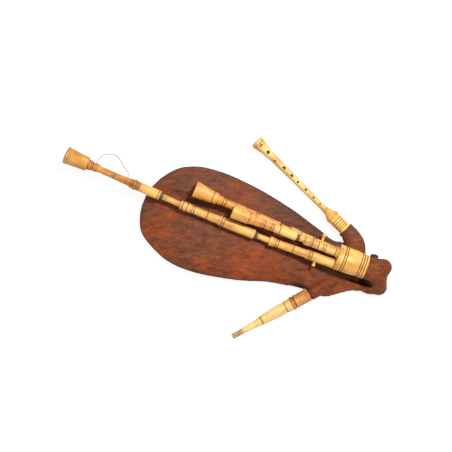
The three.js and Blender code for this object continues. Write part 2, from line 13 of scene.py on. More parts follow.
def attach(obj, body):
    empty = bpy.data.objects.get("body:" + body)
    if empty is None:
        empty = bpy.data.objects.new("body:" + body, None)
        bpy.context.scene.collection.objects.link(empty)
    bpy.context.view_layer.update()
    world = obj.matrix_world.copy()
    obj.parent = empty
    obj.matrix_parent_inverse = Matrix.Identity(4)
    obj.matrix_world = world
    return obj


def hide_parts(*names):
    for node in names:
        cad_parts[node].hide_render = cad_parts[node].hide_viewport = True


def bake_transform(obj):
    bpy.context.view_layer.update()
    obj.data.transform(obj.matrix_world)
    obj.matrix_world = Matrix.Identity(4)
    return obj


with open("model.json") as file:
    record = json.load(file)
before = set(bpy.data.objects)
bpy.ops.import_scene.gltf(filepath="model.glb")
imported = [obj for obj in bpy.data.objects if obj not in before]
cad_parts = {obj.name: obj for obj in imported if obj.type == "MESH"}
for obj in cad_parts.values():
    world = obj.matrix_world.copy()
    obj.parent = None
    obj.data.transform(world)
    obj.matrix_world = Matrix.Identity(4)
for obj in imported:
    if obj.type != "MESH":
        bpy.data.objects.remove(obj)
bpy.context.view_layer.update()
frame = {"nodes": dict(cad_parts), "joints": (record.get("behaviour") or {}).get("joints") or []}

MM = 0.001
# The middle of the footprint, as a point of the design in millimetres.
FOOTPRINT_MIDDLE = (2.9, -1.6)
JOINTS = {joint["name"]: joint for joint in frame["joints"]}


def at(x, y, z=0.0):
    """A point of the design, in millimetres, as a point of the row frame in metres."""
    return Vector(((x - FOOTPRINT_MIDDLE[0]) * MM, (y - FOOTPRINT_MIDDLE[1]) * MM, z * MM))


def new_object(name, data):
    made = bpy.data.objects.new(name, data)
    bpy.context.collection.objects.link(made)
    return made


# ---- Camera ----

# The camera looks straight down.
CAMERA_HEIGHT = 2.45
PICTURE_WIDTH = 1.0848
SENSOR = 36.0

camera_data = bpy.data.cameras.new("camera")
camera = new_object("camera", camera_data)
camera.location = (*at(-2.4, 25.8).xy, CAMERA_HEIGHT)
camera_data.sensor_width = SENSOR
camera_data.lens = SENSOR * CAMERA_HEIGHT / PICTURE_WIDTH
camera_data.clip_end = 20
bpy.context.scene.camera = camera


# ---- Materials ----

# The mesh attribute that darkens a point, for scorched lines, ties and dark patches and for painted
# shade in bores, quirks, bell rims and the leather's hollows and sides, and the colours of the dark,
# shaded and worn places.
MARKS_AND_SHADE = "marks_and_shade"
# The next two colours: the first darkens scorched lines and also paints shade into the wood, the second
# darkens marks and also paints shade into the leather.
SCORCH_AND_SHADE = (0.10, 0.034, 0.009)
LEATHER_MARKS_AND_SHADE = (0.018, 0.010, 0.008)
SCUFFED_LEATHER = (0.30, 0.085, 0.028)
BLACK, WHITE = (0, 0, 0), (1, 1, 1)
# Where the lighter foot of a drone section fades out, up its length in metres.
FOOT_FADE = (0.035, 0.066)


class Shading:
    """A node material being built. Most methods add a node and give its output."""

    def __init__(self, name):
        self.material = bpy.data.materials.new(name)
        self.material.use_nodes = True
        self.tree = self.material.node_tree
        self.shader = self.tree.nodes["Principled BSDF"]

    def feed(self, socket, value):
        """Links an output to a socket, or sets the socket to a number, vector or colour."""
        if isinstance(value, bpy.types.NodeSocket):
            self.tree.links.new(value, socket)
        elif socket.type == "RGBA":
            socket.default_value = (*value, 1)
        else:
            socket.default_value = value

    def put(self, name, value):
        self.feed(self.shader.inputs[name], value)

    def node(self, kind, **values):
        node = self.tree.nodes.new(kind)
        for name, value in values.items():
            self.feed(node.inputs[name], value)
        return node

    def coordinates(self, *scale):
        place = self.node("ShaderNodeTexCoord").outputs["Object"]
        return self.node("ShaderNodeMapping", Vector=place, Scale=scale).outputs["Vector"]

    def parts(self, vector):
        return self.node("ShaderNodeSeparateXYZ", Vector=vector).outputs

    def noise(self, vector, scale, detail, roughness):
        return self.node("ShaderNodeTexNoise", Vector=vector, Scale=scale, Detail=detail,
                         Roughness=roughness).outputs["Fac"]

    def attribute(self, name):
        node = self.node("ShaderNodeAttribute")
        node.attribute_name = name
        return node.outputs["Fac"]

    def ramp(self, source, *stops):
        node = self.node("ShaderNodeValToRGB", Fac=source)
        elements = node.color_ramp.elements
        while len(elements) < len(stops):
            elements.new(0.5)
        for element, (position, color) in zip(elements, stops):
            element.position = position
            element.color = (*color, 1)
        return node.outputs["Color"]

    def mix(self, factor, first, second, blend="MIX"):
        node = self.node("ShaderNodeMix")
        node.data_type = "RGBA"
        node.blend_type = blend
        for index, value in ((0, factor), (6, first), (7, second)):
            self.feed(node.inputs[index], value)
        return node.outputs[2]

    def maths(self, operation, *values):
        node = self.node("ShaderNodeMath")
        node.operation = operation
        for socket, value in zip(node.inputs, values):
            self.feed(socket, value)
        return node.outputs[0]

    def bump(self, height, strength, distance):
        bump = self.node("ShaderNodeBump", Height=height, Strength=strength, Distance=distance)
        self.put("Normal", bump.outputs["Normal"])


def boxwood(name, pale, mid, deep, wear=0.35, foot=None):
    """Oiled boxwood: fine long grain, soft clouds of colour, scorched turned lines and painted shade
    from the mesh's mark attribute, handled shine.

    foot is the lighter colour of a section's socket end.
    """
    m = Shading(name)
    plain = m.coordinates(1, 1, 1)
    grain = m.noise(m.coordinates(1, 1, 0.045), 900, 4, 0.6)
    clouds = m.noise(m.coordinates(1, 1, 0.4), 55, 3, 0.55)
    flecks = m.noise(plain, 420, 2, 0.5)
    base = m.ramp(clouds, (0.34, deep), (0.5, mid), (0.66, pale))
    if foot:
        away = m.ramp(m.parts(plain)["Z"], (FOOT_FADE[0], BLACK), (FOOT_FADE[1], WHITE))
        base = m.mix(away, foot, base)
    streaks = m.ramp(grain, (0.35, (0.72, 0.6, 0.5)), (0.6, WHITE))
    base = m.mix(wear + 0.2, base, streaks, "MULTIPLY")
    grime = m.ramp(flecks, (0.25, (0.62, 0.5, 0.42)), (0.42, WHITE))
    base = m.mix(wear, base, grime, "MULTIPLY")
    # The mark attribute mixes in the dark colour: scorched lines, and painted shade in bores, quirks and
    # at bell rims.
    m.put("Base Color", m.mix(m.attribute(MARKS_AND_SHADE), base, SCORCH_AND_SHADE))
    m.put("Roughness", m.maths("MULTIPLY_ADD", grain, 0.22, 0.4))
    m.put("Coat Weight", 0.1)
    m.put("Coat Roughness", 0.42)
    m.bump(grain, 0.25, 0.0003)
    return m.material


def leather(name):
    """Soft bag hide: mottled, redder towards -Y, darker and greyer towards the front with painted light
    over the neck, dark where marked and where shade is painted.
    """
    m = Shading(name)
    plain = m.coordinates(1, 1, 1)
    place = m.parts(plain)
    patches = m.noise(plain, 13, 4, 0.6)
    mottling = m.noise(m.coordinates(0.6, 1.35, 1), 75, 5, 0.7)
    blots = m.noise(plain, 270, 3, 0.6)
    streaks = m.noise(m.coordinates(0.5, 1.5, 1), 120, 4, 0.7)
    fine = m.noise(plain, 700, 3, 0.6)
    tone = m.maths("SUBTRACT", patches, m.maths("MULTIPLY", place["Y"], 0.75))
    base = m.ramp(tone, (0.34, (0.122, 0.044, 0.022)), (0.5, (0.175, 0.045, 0.014)),
                  (0.68, (0.250, 0.050, 0.009)))
    # Darker and greyer towards +X; the lighter stop at 0.29 paints light onto the chanter's neck, which
    # lies in shade.
    front_tone_and_painted_light = m.ramp(place["X"], (0.04, WHITE), (0.16, (0.68, 0.74, 0.84)),
                     (0.23, (0.64, 0.72, 0.84)), (0.29, (1.0, 1.06, 1.06)), (0.35, (0.82, 0.88, 0.94)))
    base = m.mix(1.0, base, front_tone_and_painted_light, "MULTIPLY")
    shade = m.ramp(mottling, (0.36, (0.46, 0.48, 0.52)), (0.64, (1.36, 1.26, 1.16)))
    base = m.mix(0.8, base, shade, "MULTIPLY")
    spots = m.ramp(blots, (0.36, (0.55, 0.58, 0.62)), (0.6, (1.2, 1.16, 1.1)))
    base = m.mix(0.45, base, spots, "MULTIPLY")
    dry = m.ramp(streaks, (0.5, BLACK), (0.72, WHITE))
    base = m.mix(m.maths("MULTIPLY", dry, 0.4), base, SCUFFED_LEATHER)
    # The mark attribute mixes in the dark colour: ties, the flap and dark patches, and painted shade in
    # hollows, on the seam's sides and in the gap by the blowpipe neck.
    m.put("Base Color", m.mix(m.attribute(MARKS_AND_SHADE), base, LEATHER_MARKS_AND_SHADE))
    m.put("Roughness", m.maths("MULTIPLY_ADD", mottling, 0.25, 0.52))
    m.put("Specular IOR Level", 0.2)
    pebbles = m.node("ShaderNodeTexVoronoi", Vector=plain, Scale=620).outputs["Distance"]
    pores = m.maths("ADD", m.maths("MULTIPLY", pebbles, 0.5), m.maths("MULTIPLY", fine, 0.7))
    m.bump(m.maths("ADD", pores, m.maths("MULTIPLY", blots, 1.6)), 0.5, 0.0008)
    return m.material


def thread_material(name, light, dark, patch=500):
    """Waxed thread or worn leather cord, in two tones; a lower patch makes larger patches."""
    m = Shading(name)
    plain = m.coordinates(1, 1, 1)
    m.put("Base Color", m.ramp(m.noise(plain, patch, 3, 0.6), (0.4, dark), (0.6, light)))
    m.put("Roughness", 0.82)
    m.put("Sheen Weight", 0.2)
    m.bump(m.noise(plain, 3500, 2, 0.6), 0.5, 0.0003)
    return m.material


def brass_material():
    m = Shading("brass")
    tarnish = m.noise(m.coordinates(1, 1, 1), 300, 4, 0.6)
    m.put("Base Color", m.ramp(tarnish, (0.3, (0.36, 0.22, 0.07)), (0.6, (0.68, 0.47, 0.18))))
    m.put("Metallic", 1.0)
    m.put("Roughness", m.maths("MULTIPLY_ADD", tarnish, 0.3, 0.2))
    return m.material


WOOD = boxwood("boxwood", (0.80, 0.49, 0.13), (0.73, 0.39, 0.088), (0.54, 0.23, 0.044))
ORANGE_WOOD = boxwood("orange_boxwood", (0.71, 0.36, 0.07), (0.56, 0.23, 0.034), (0.36, 0.115, 0.015),
                      foot=(0.80, 0.44, 0.10))
PALE_WOOD = boxwood("pale_boxwood", (0.84, 0.64, 0.27), (0.78, 0.56, 0.20), (0.65, 0.41, 0.12), 0.3)
STOCK_WOOD = boxwood("stock_boxwood", (0.87, 0.55, 0.135), (0.79, 0.43, 0.085), (0.64, 0.28, 0.04), 0.3)
GOLD_WOOD = boxwood("golden_boxwood", (0.76, 0.41, 0.08), (0.68, 0.32, 0.056), (0.52, 0.20, 0.028),
                    foot=(0.79, 0.49, 0.12))
CHANTER_WOOD = boxwood("chanter_boxwood", (0.80, 0.58, 0.22), (0.73, 0.49, 0.155), (0.58, 0.32, 0.08))
AMBER_WOOD = boxwood("amber_boxwood", (0.77, 0.41, 0.078), (0.66, 0.30, 0.05), (0.47, 0.175, 0.024))
BLOW_STOCK_WOOD = boxwood("red_boxwood", (0.74, 0.34, 0.09), (0.58, 0.22, 0.04), (0.38, 0.12, 0.02), 0.5)
LEATHER = leather("bag_leather")
WELT_LEATHER = thread_material("welt_leather", (0.085, 0.055, 0.042), (0.03, 0.018, 0.013))
DARK_THREAD = thread_material("dark_thread", (0.27, 0.19, 0.075), (0.022, 0.017, 0.008), 260)
TIP_THREAD = thread_material("tip_thread", (0.56, 0.38, 0.17), (0.17, 0.10, 0.045), 210)
GREY_THREAD = thread_material("grey_thread", (0.10, 0.09, 0.085), (0.04, 0.036, 0.034))
CANE = boxwood("cane", (0.78, 0.60, 0.28), (0.70, 0.50, 0.20), (0.55, 0.36, 0.12), 0.4)
BRASS = brass_material()


# ---- Frames of the turned pieces ----

RING_THICKNESS = 5e-5


def joint_axis(joint):
    return Vector(JOINTS[joint]["axis"]).normalized()


def node_points(node):
    """The distinct vertices of a CAD node, in metres."""
    mesh = frame["nodes"][node].data
    points = np.empty(len(mesh.vertices) * 3)
    mesh.vertices.foreach_get("co", points)
    return np.unique(np.round(points.reshape(-1, 3), 6), axis=0)


def node_length(node, axis):
    """How far a CAD node reaches along an axis, in millimetres."""
    heights = node_points(node) @ np.array(axis)
    return (heights.max() - heights.min()) / MM


def axis_matrix(node, axis, foot=0.0):
    """A turned node's own frame: +Z up its axis, and foot the height in mm of its lowest ring."""
    points = node_points(node)
    heights = points @ np.array(axis)
    ring = points[heights < heights.min() + RING_THICKNESS]
    centre = Vector(ring.mean(axis=0))
    side = Vector((0, 0, 1)) - axis * axis.z
    side.normalize()
    across = side.cross(axis)
    matrix = Matrix((across, side, axis)).transposed().to_4x4()
    matrix.translation = centre - axis * (foot * MM)
    return matrix


def pipe_matrix(node, joint, foot=0.0):
    return axis_matrix(node, joint_axis(joint), foot)


# ---- Turned work ----

# How dark a point is in a quirk and at a bead's foot (old oil and painted shade), on a groove's edge,
# and in a bore (painted shade).
QUIRK_OIL_AND_SHADE = 0.6
BEAD_FOOT_OIL_AND_SHADE = 0.32
EDGE_BURN = 0.55
BORE_PAINTED_SHADE = 0.35
QUIRK_DEPTH = 0.3
GROOVE_LIP = 0.05
SHARP_ANGLE = math.radians(38)
# The radius at which a solid end closes on its axis.
CLOSED = 0.02


class Profile:
    """The outline of a turned piece: radius and height in millimetres, with scorched lines and painted
    shade.
    """

    def __init__(self, radius, height):
        self.points = [(radius, height, 0.0)]

    def to(self, radius, height, marks_and_shade=0.0):
        self.points.append((radius, height, marks_and_shade))
        return self

    def curve(self, radius, height, bulge, steps=6):
        """A smooth run to a point, swelling by bulge at its middle."""
        r0, h0, _ = self.points[-1]
        for i in range(1, steps + 1):
            t = i / steps
            self.to(r0 + (radius - r0) * t + bulge * math.sin(math.pi * t), h0 + (height - h0) * t)
        return self

    def ease(self, radius, height, steps=6):
        """An S-shaped run to a point: a cove that turns into a swell."""
        r0, h0, _ = self.points[-1]
        for i in range(1, steps + 1):
            t = i / steps
            s = t * t * (3 - 2 * t)
            self.to(r0 + (radius - r0) * s, h0 + (height - h0) * t)
        return self

    def bead(self, width, height, steps=8):
        """A half-round ring standing out by height, with old oil and painted shade in the quirks at its
        sides.
        """
        r0, h0, _ = self.points[-1]
        self.to(r0 - QUIRK_DEPTH, h0 + width * 0.04, QUIRK_OIL_AND_SHADE)
        for i in range(1, steps):
            t = i / steps
            marks_and_shade = BEAD_FOOT_OIL_AND_SHADE if i in (1, steps - 1) else 0.0
            self.to(r0 + height * math.sin(math.pi * t), h0 + width * t, marks_and_shade)
        self.to(r0 - QUIRK_DEPTH, h0 + width * 0.96, QUIRK_OIL_AND_SHADE)
        return self.to(r0, h0 + width)

    def groove(self, depth=0.6, width=2.4, marks_and_shade=1.0):
        """A scorched line cut round the piece, browned at both sides."""
        r0, h0, _ = self.points[-1]
        self.to(r0, h0 + GROOVE_LIP, EDGE_BURN * marks_and_shade)
        self.to(r0 - depth, h0 + width * 0.35, marks_and_shade)
        self.to(r0 - depth, h0 + width * 0.65, marks_and_shade)
        self.to(r0, h0 + width - GROOVE_LIP, EDGE_BURN * marks_and_shade)
        return self.to(r0, h0 + width)


def bridge(mesh, rows):
    """Quads between each ring of vertices and the next."""
    for first, second in zip(rows, rows[1:]):
        for i in range(len(first)):
            j = (i + 1) % len(first)
            mesh.faces.new((first[i], first[j], second[j], second[i]))


def mesh_data(name, mesh):
    """The mesh data of a finished bmesh."""
    data = bpy.data.meshes.new(name)
    mesh.to_mesh(data)
    mesh.free()
    return data


def smooth_mesh(name, mesh, sharp_angle=SHARP_ANGLE):
    """The mesh data of a bmesh, shaded smooth up to its sharp edges."""
    bmesh.ops.recalc_face_normals(mesh, faces=mesh.faces)
    data = mesh_data(name, mesh)
    data.shade_smooth()
    data.set_sharp_from_angle(angle=sharp_angle)
    return data


def turned_mesh(name, outline, bore, segments=72):
    """A closed turned mesh: the outline from foot to top, then the bore back down."""
    mesh = bmesh.new()
    marks_and_shade = mesh.verts.layers.float.new(MARKS_AND_SHADE)
    rows = []
    # The bore gets painted shade all along its length.
    for radius, height, scorch_and_shade in outline.points + [(r, h, BORE_PAINTED_SHADE) for r, h in reversed(bore)]:
        row = []
        for i in range(segments):
            angle = 2 * math.pi * i / segments
            place = (radius * math.cos(angle) * MM, radius * math.sin(angle) * MM, height * MM)
            vertex = mesh.verts.new(place)
            vertex[marks_and_shade] = scorch_and_shade
            row.append(vertex)
        rows.append(row)
    bridge(mesh, rows + rows[:1])
    return smooth_mesh(name, mesh)


def add_object(name, data, material, matrix=None):
    piece = new_object(name, data)
    data.materials.clear()
    data.materials.append(material)
    if matrix is not None:
        piece.matrix_world = matrix
    return piece


def add_turned(node, matrix, outline, bore, material, segments=72):
    """The turned wood that stands for a CAD node."""
    name = node + "_wood"
    return add_object(name, turned_mesh(name, outline, bore, segments), material, matrix)


def settle(piece, body, node):
    """Lets a piece ride on a body, in place of a CAD node."""
    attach(piece, body)
    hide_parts(node)


def add_pipe(node, joint, outline, bore, material, body):
    """A turned pipe on its joint's axis, in place of its CAD node."""
    matrix = pipe_matrix(node, joint, outline.points[0][1])
    settle(add_turned(node, matrix, outline, bore, material), body, node)


def apply_modifiers(piece):
    depsgraph = bpy.context.evaluated_depsgraph_get()
    data = bpy.data.meshes.new_from_object(piece.evaluated_get(depsgraph))
    piece.modifiers.clear()
    piece.data = data


def cut(piece, cutters):
    """Bores each cutter out of a piece, exactly."""
    for cutter in cutters:
        modifier = piece.modifiers.new("cut", "BOOLEAN")
        modifier.operation = "DIFFERENCE"
        modifier.object = cutter
        modifier.solver = "EXACT"
    apply_modifiers(piece)
    for cutter in cutters:
        bpy.data.objects.remove(cutter)
    piece.data.set_sharp_from_angle(angle=SHARP_ANGLE)


def drill(radius, start, end, matrix, segments):
    """A round cutter along local Z of a matrix, from start to end, in millimetres."""
    mesh = bmesh.new()
    bmesh.ops.create_cone(mesh, cap_ends=True, segments=segments, radius1=radius * MM,
                          radius2=radius * MM, depth=(end - start) * MM)
    bmesh.ops.translate(mesh, verts=mesh.verts, vec=(0, 0, (start + end) / 2 * MM))
    cutter = new_object("drill", mesh_data("drill", mesh))
    cutter.matrix_world = matrix
    return cutter


def merge(piece, data, matrix):
    """Adds a mesh, placed by a matrix of the row frame, to a piece's own mesh."""
    local = piece.matrix_world.inverted() @ matrix
    mesh = bmesh.new()
    mesh.from_mesh(piece.data)
    extra = data.copy()
    extra.transform(local)
    mesh.from_mesh(extra)
    mesh.to_mesh(piece.data)
    mesh.free()


# The groove round a stock's tenon, where the tie-in cord lies.
TIE_DEPTH = 1.4
TIE_WIDTH = 4


def tied_tenon(radius, face, length, groove_from, chamfer):
    """The start of a stock's outline: its tenon in the leather, up to the stock's face.

    groove_from is how far below the face the cord's groove starts.
    """
    groove = face - groove_from
    p = Profile(radius - chamfer[0], face - length).to(radius, face - length + chamfer[1])
    p.to(radius, groove).to(radius - TIE_DEPTH, groove).to(radius - TIE_DEPTH, groove + TIE_WIDTH)
    return p.to(radius, groove + TIE_WIDTH).to(radius, face)


WINDING_DEPTH = 0.9
LOOSE_TURN = 0.12


def winding_outline(outer, start, end, thread):
    """Thread wound round a tenon, turn beside turn, with a few uneven turns."""
    turns = max(2, round((end - start) / thread))
    pitch = (end - start) / turns
    p = Profile(outer - WINDING_DEPTH, start)
    for turn in range(turns):
        middle = outer - LOOSE_TURN * ((turn * 7) % 3) - thread * 0.5
        for step in range(4):
            angle = math.pi * (step + 0.5) / 4
            height = start + pitch * (turn + 0.5 - 0.5 * math.cos(angle))
            p.to(middle + math.sin(angle) * thread * 0.5, height)
    return p.to(outer - WINDING_DEPTH, end)


def add_winding(node, body, joint, outer, lead=0.0, material=DARK_THREAD, thread=0.62):
    """Turns of thread in place of a wound ring of the CAD, starting lower down by lead."""
    axis = joint_axis(joint)
    outline = winding_outline(outer, -lead, node_length(node, axis), thread)
    data = turned_mesh(node + "_thread", outline, [], 48)
    piece = add_object(node + "_thread", data, material, axis_matrix(node, axis))
    settle(piece, body, node)


# ---- Drones ----

TENON = 6.9
TENON_SEAT = 6.4
TENON_ROOT = -6
SOCKET = 7.8
DRONE_BORE = 4.0
FOOT_LENGTH = 32
# Each section's upper end, over its lower shoulder.
LENGTHS = {
    "bass_bottom": 162.3, "bass_middle": 188.1, "bass_bell": 239.5, "tenor_bottom": 87,
    "tenor_top": 160.4, "treble_bottom": 126.7, "treble_top": 216,
}
# Tuning tenons: the joint that slides on each, its reach over the section, and where its seat starts.
TENONS = {
    "bass_bottom": ("bass_middle_tune", 60.1, 32.1),
    "bass_middle": ("bass_bell_tune", 74.7, 46.7),
    "tenor_bottom": ("tenor_tune", 41, 15),
    "treble_bottom": ("treble_tune", 47, 21),
}


def joined_tenon(name, reach, seat_from):
    """The tuning tenon above a section, with a scorched shoulder and a narrower wound seat."""
    outline = Profile(5, TENON_ROOT).to(TENON, TENON_ROOT).to(TENON, -0.6).to(TENON, 0.6, 0.8)
    outline.to(TENON, 1.2).to(TENON, seat_from).to(TENON_SEAT, seat_from + 0.4)
    outline.to(TENON_SEAT, reach - 0.6).to(6.0, reach)
    return turned_mesh(name + "_tenon", outline, [(DRONE_BORE, TENON_ROOT), (DRONE_BORE, reach)])


def foot_outline(first_radius):
    return (Profile(7.4, -FOOT_LENGTH).to(8.4, -FOOT_LENGTH + 1.5).to(8.4, 0.4)
            .to(first_radius - 0.6, 0.6).to(first_radius, 1.2))


def bass_bottom_outline():
    p = foot_outline(11.7)
    p.to(11.4, 55.5).groove().to(11.6, 61.2).groove().to(11.5, 65)
    p.ease(9.9, 73).to(9.7, 101).groove().to(9.5, 104).to(9.5, 138.4).groove().to(9.8, 144).groove()
    p.to(10.0, 147.6).bead(3.4, 0.9).to(10.4, 151.6)
    p.bead(3.4, 0.9).to(10.8, 155.4).to(11.6, 156.2).curve(11.7, 160.4, 0.1).to(11.0, 161.4, 0.4)
    return p.to(9.8, 162.0).to(TENON, LENGTHS["bass_bottom"])


def bass_middle_outline():
    p = Profile(11.1, 0).to(11.6, 0.6).curve(11.7, 75.6, 0.25).groove().to(11.6, 81).groove()
    p.to(11.5, 85).ease(10.0, 93).to(9.8, 118).groove().to(9.7, 121).to(9.6, 150.8).groove()
    p.to(9.6, 156).groove().to(9.7, 160).bead(3.4, 1.0).to(9.8, 164.5)
    p.ease(10.9, 167.5, 3).to(10.9, 169).groove().curve(10.9, 180, 0.2).groove()
    return p.curve(10.6, 186, 0.4).to(9.4, 188.0).to(TENON, LENGTHS["bass_middle"])


def bass_bell_outline():
    p = Profile(10.7, 0).to(11.2, 0.6).to(11.1, 3).groove().curve(11.0, 50, 0.15).groove()
    p.to(11.0, 54).groove().to(10.6, 57).bead(3.4, 2.0).to(10.4, 61).bead(7, 3.3, 10).to(10.4, 68.6)
    p.bead(3.6, 2.0).to(10.2, 73).bead(3, 1.2).to(9.8, 77.5).ease(9.2, 88).curve(8.6, 115, -0.1)
    p.groove().curve(8.1, 145, -0.12).curve(8.3, 156, -0.1).to(9.0, 157.4).bead(3.4, 1.5)
    p.to(9.2, 161.4).bead(3.6, 1.9).to(9.4, 165.6).bead(3.6, 2.0).to(9.6, 169.8).groove().to(9.8, 172.4)
    p.bead(3.2, 1.8).to(10.4, 175.8).bead(5.6, 2.8, 10).to(12.2, 181.8, 0.7).ease(16.9, 186.6, 8)
    p.curve(19.9, 231, -0.2, 10).groove(0.35, 1.6, 0.6)
    # The dark rim at the bell's mouth is painted shade.
    p.curve(20.9, 237.0, 0.5, 5).to(20.9, 237.8, 0.5).to(20.6, 238.8, 0.9)
    return p.to(20.0, LENGTHS["bass_bell"], 1.0)


def collared_foot():
    """The foot of a tenor or treble section, with two beads over the stock."""
    return foot_outline(10.2).bead(3.4, 1.2).to(10.2, 5).bead(2.6, 0.8).to(9.7, 8.4).groove()


def tenor_bottom_outline():
    p = collared_foot().curve(9.6, 33, 0.1).groove().to(9.5, 38.4).groove().curve(9.5, 51, 0.05)
    p.groove().to(9.5, 66).groove().to(9.6, 70).bead(3.2, 1.1).to(9.8, 74)
    p.ease(10.8, 76.5, 3).curve(10.7, 83, 0.3).to(10.2, 85.6, 0.4).to(9.2, 86.8)
    return p.to(TENON, LENGTHS["tenor_bottom"])


def tenor_top_outline():
    p = Profile(9.5, 0).to(10.0, 0.6).curve(9.7, 40, 0.1).groove().curve(9.6, 56, 0.1).groove()
    p.to(9.8, 61.4).groove().curve(10.0, 77.6, 0.15).groove().to(10.3, 82).bead(4, 0.7).to(10.6, 87.4)
    p.curve(11.5, 101, 0.3, 8).bead(3.4, 0.6).to(11.8, 106).curve(12.4, 113.2, 0.25)
    p.ease(14.6, 116.2, 4).to(14.9, 117).groove(0.6, 1.8).curve(16.4, 157.5, 0.15, 8)
    # The dark rim at the bell's mouth is painted shade.
    return p.curve(16.6, 159.6, 0.15, 3).to(16.2, 160.2, 0.5).to(15.9, LENGTHS["tenor_top"], 0.9)


def treble_bottom_outline():
    p = collared_foot().curve(9.5, 59, 0.1).groove().to(9.5, 64.4).groove().to(9.5, 96).groove()
    p.to(9.6, 100).bead(3.4, 1.2).to(9.8, 105).ease(10.9, 107.6, 3).curve(10.8, 122, 0.3)
    return p.to(10.2, 124.8, 0.4).to(9.2, 126.5).to(TENON, LENGTHS["treble_bottom"])


def treble_top_outline():
    p = Profile(9.5, 0).to(10.0, 0.6).curve(9.7, 53, 0.1).groove().to(9.6, 58.4).groove()
    p.curve(9.2, 112, 0.1).groove().to(9.3, 131).bead(3.4, 0.9).to(9.7, 136).groove().to(10.0, 141.8)
    p.groove().to(10.2, 146).bead(4, 1.1).to(10.5, 151).bead(4.4, 1.1).to(10.8, 156.6, 0.3)
    p.ease(13.7, 160, 5).curve(14.3, 168, 0.25).groove(0.6, 1.8).to(15.2, 170.4)
    # The dark rim at the bell's mouth is painted shade.
    p.curve(19.4, 213, -0.35, 8).curve(19.6, 215.2, 0.15, 3).to(19.2, 215.8, 0.5)
    return p.to(18.6, LENGTHS["treble_top"], 0.9)


def socket_bore(depth, *bell):
    """The bore of an upper section: its socket, the drone's bore and the hollow of its bell."""
    return [(SOCKET, 0), (SOCKET, depth), (DRONE_BORE, depth + 1), *bell]


BASS_MIDDLE_BORE = socket_bore(64, (DRONE_BORE, LENGTHS["bass_middle"]))
BASS_BELL_BORE = socket_bore(77, (DRONE_BORE, 190), (9, 193), (13.6, 200), (16.2, 215), (17.6, 232),
                             (18.4, LENGTHS["bass_bell"]))
TENOR_TOP_BORE = socket_bore(43, (DRONE_BORE, 120), (9, 123), (11.8, 130), (13.6, 146),
                             (14.4, LENGTHS["tenor_top"]))
TREBLE_TOP_BORE = socket_bore(49, (DRONE_BORE, 172), (9, 175), (13.2, 182), (15.6, 200),
                              (17.0, LENGTHS["treble_top"]))


def add_section(name, joint, outline, bore=None, material=WOOD):
    """A drone section, seated on its CAD node and riding on the body of the same name."""
    foot = outline.points[0][1]
    straight = [(DRONE_BORE, foot), (DRONE_BORE, LENGTHS[name])]
    matrix = pipe_matrix(name, joint, foot)
    piece = add_turned(name, matrix, outline, bore or straight, material)
    if name in TENONS:
        upper_joint, reach, seat_from = TENONS[name]
        lower_axis = Vector(matrix.col[2][:3])
        turn = lower_axis.rotation_difference(joint_axis(upper_joint)).to_matrix().to_4x4()
        place = turn @ matrix
        place.translation = matrix @ Vector((0, 0, LENGTHS[name] * MM))
        merge(piece, joined_tenon(name, reach, seat_from), place)
    settle(piece, name, name)


add_section("bass_bottom", "bass_drone_pull", bass_bottom_outline())
add_section("bass_middle", "bass_middle_tune", bass_middle_outline(), BASS_MIDDLE_BORE)
add_section("bass_bell", "bass_bell_tune", bass_bell_outline(), BASS_BELL_BORE, ORANGE_WOOD)
add_section("tenor_bottom", "tenor_drone_pull", tenor_bottom_outline())
add_section("tenor_top", "tenor_tune", tenor_top_outline(), TENOR_TOP_BORE, GOLD_WOOD)
add_section("treble_bottom", "treble_drone_pull", treble_bottom_outline())
add_section("treble_top", "treble_tune", treble_top_outline(), TREBLE_TOP_BORE, AMBER_WOOD)

# Outer radii of the wound threads, and how far the thread on a tuning tenon shows below its ring.
TUNING_WINDING = 7.6
FOOT_WINDING = 9.3
WIDE_LEAD = 4.8
NARROW_LEAD = 1.5

add_winding("bass_lower_winding", "bass_bottom", "bass_middle_tune", TUNING_WINDING, WIDE_LEAD)
add_winding("bass_upper_winding", "bass_middle", "bass_bell_tune", TUNING_WINDING, WIDE_LEAD)
add_winding("tenor_winding", "tenor_bottom", "tenor_tune", TUNING_WINDING, WIDE_LEAD)
add_winding("treble_winding", "treble_bottom", "treble_tune", TUNING_WINDING, NARROW_LEAD)
for drone in ("bass", "tenor", "treble"):
    add_winding(f"{drone}_foot_winding", f"{drone}_bottom", f"{drone}_drone_pull", FOOT_WINDING)


# ---- Drone stock ----

def ring_axis(node, towards):
    """The axis of a flat ring node: the direction in which it is thinnest."""
    points = node_points(node)
    centred = points - points.mean(axis=0)
    axis = Vector(np.linalg.svd(centred, full_matrices=False)[2][2]).normalized()
    return -axis if axis.dot(towards) < 0 else axis


STOCK_LENGTH = 72.3
STOCK_TENON = 21
STOCK_TENON_LENGTH = 27
STOCK_FACE = -STOCK_LENGTH
STOCK_END = STOCK_FACE - STOCK_TENON_LENGTH
# The three sockets for the drones' feet.
DRONE_SOCKET = 9.6
DRONE_SOCKET_DEPTH = 48

stock_axis = ring_axis("drone_stock_tie", joint_axis("bass_drone_pull"))
stock_matrix = axis_matrix("drone_stock", stock_axis, STOCK_END)


def stock_outline():
    p = tied_tenon(STOCK_TENON, STOCK_FACE, STOCK_TENON_LENGTH, 18, (1.4, 1.5)).to(26.9, STOCK_FACE)
    p.curve(28.2, STOCK_FACE + 3, 0.5, 4).to(28.4, -67.8).groove().bead(3.8, 0.7).groove()
    p.bead(3.2, 0.5).groove().to(28.7, -52).curve(30.2, -21, 0.5, 8)
    p.groove().bead(3.4, 0.6).groove().curve(31.1, -6, 0.2, 4).groove(0.4, 1)
    return p.curve(30.3, -0.8, 0.75, 6).to(29.2, 0)


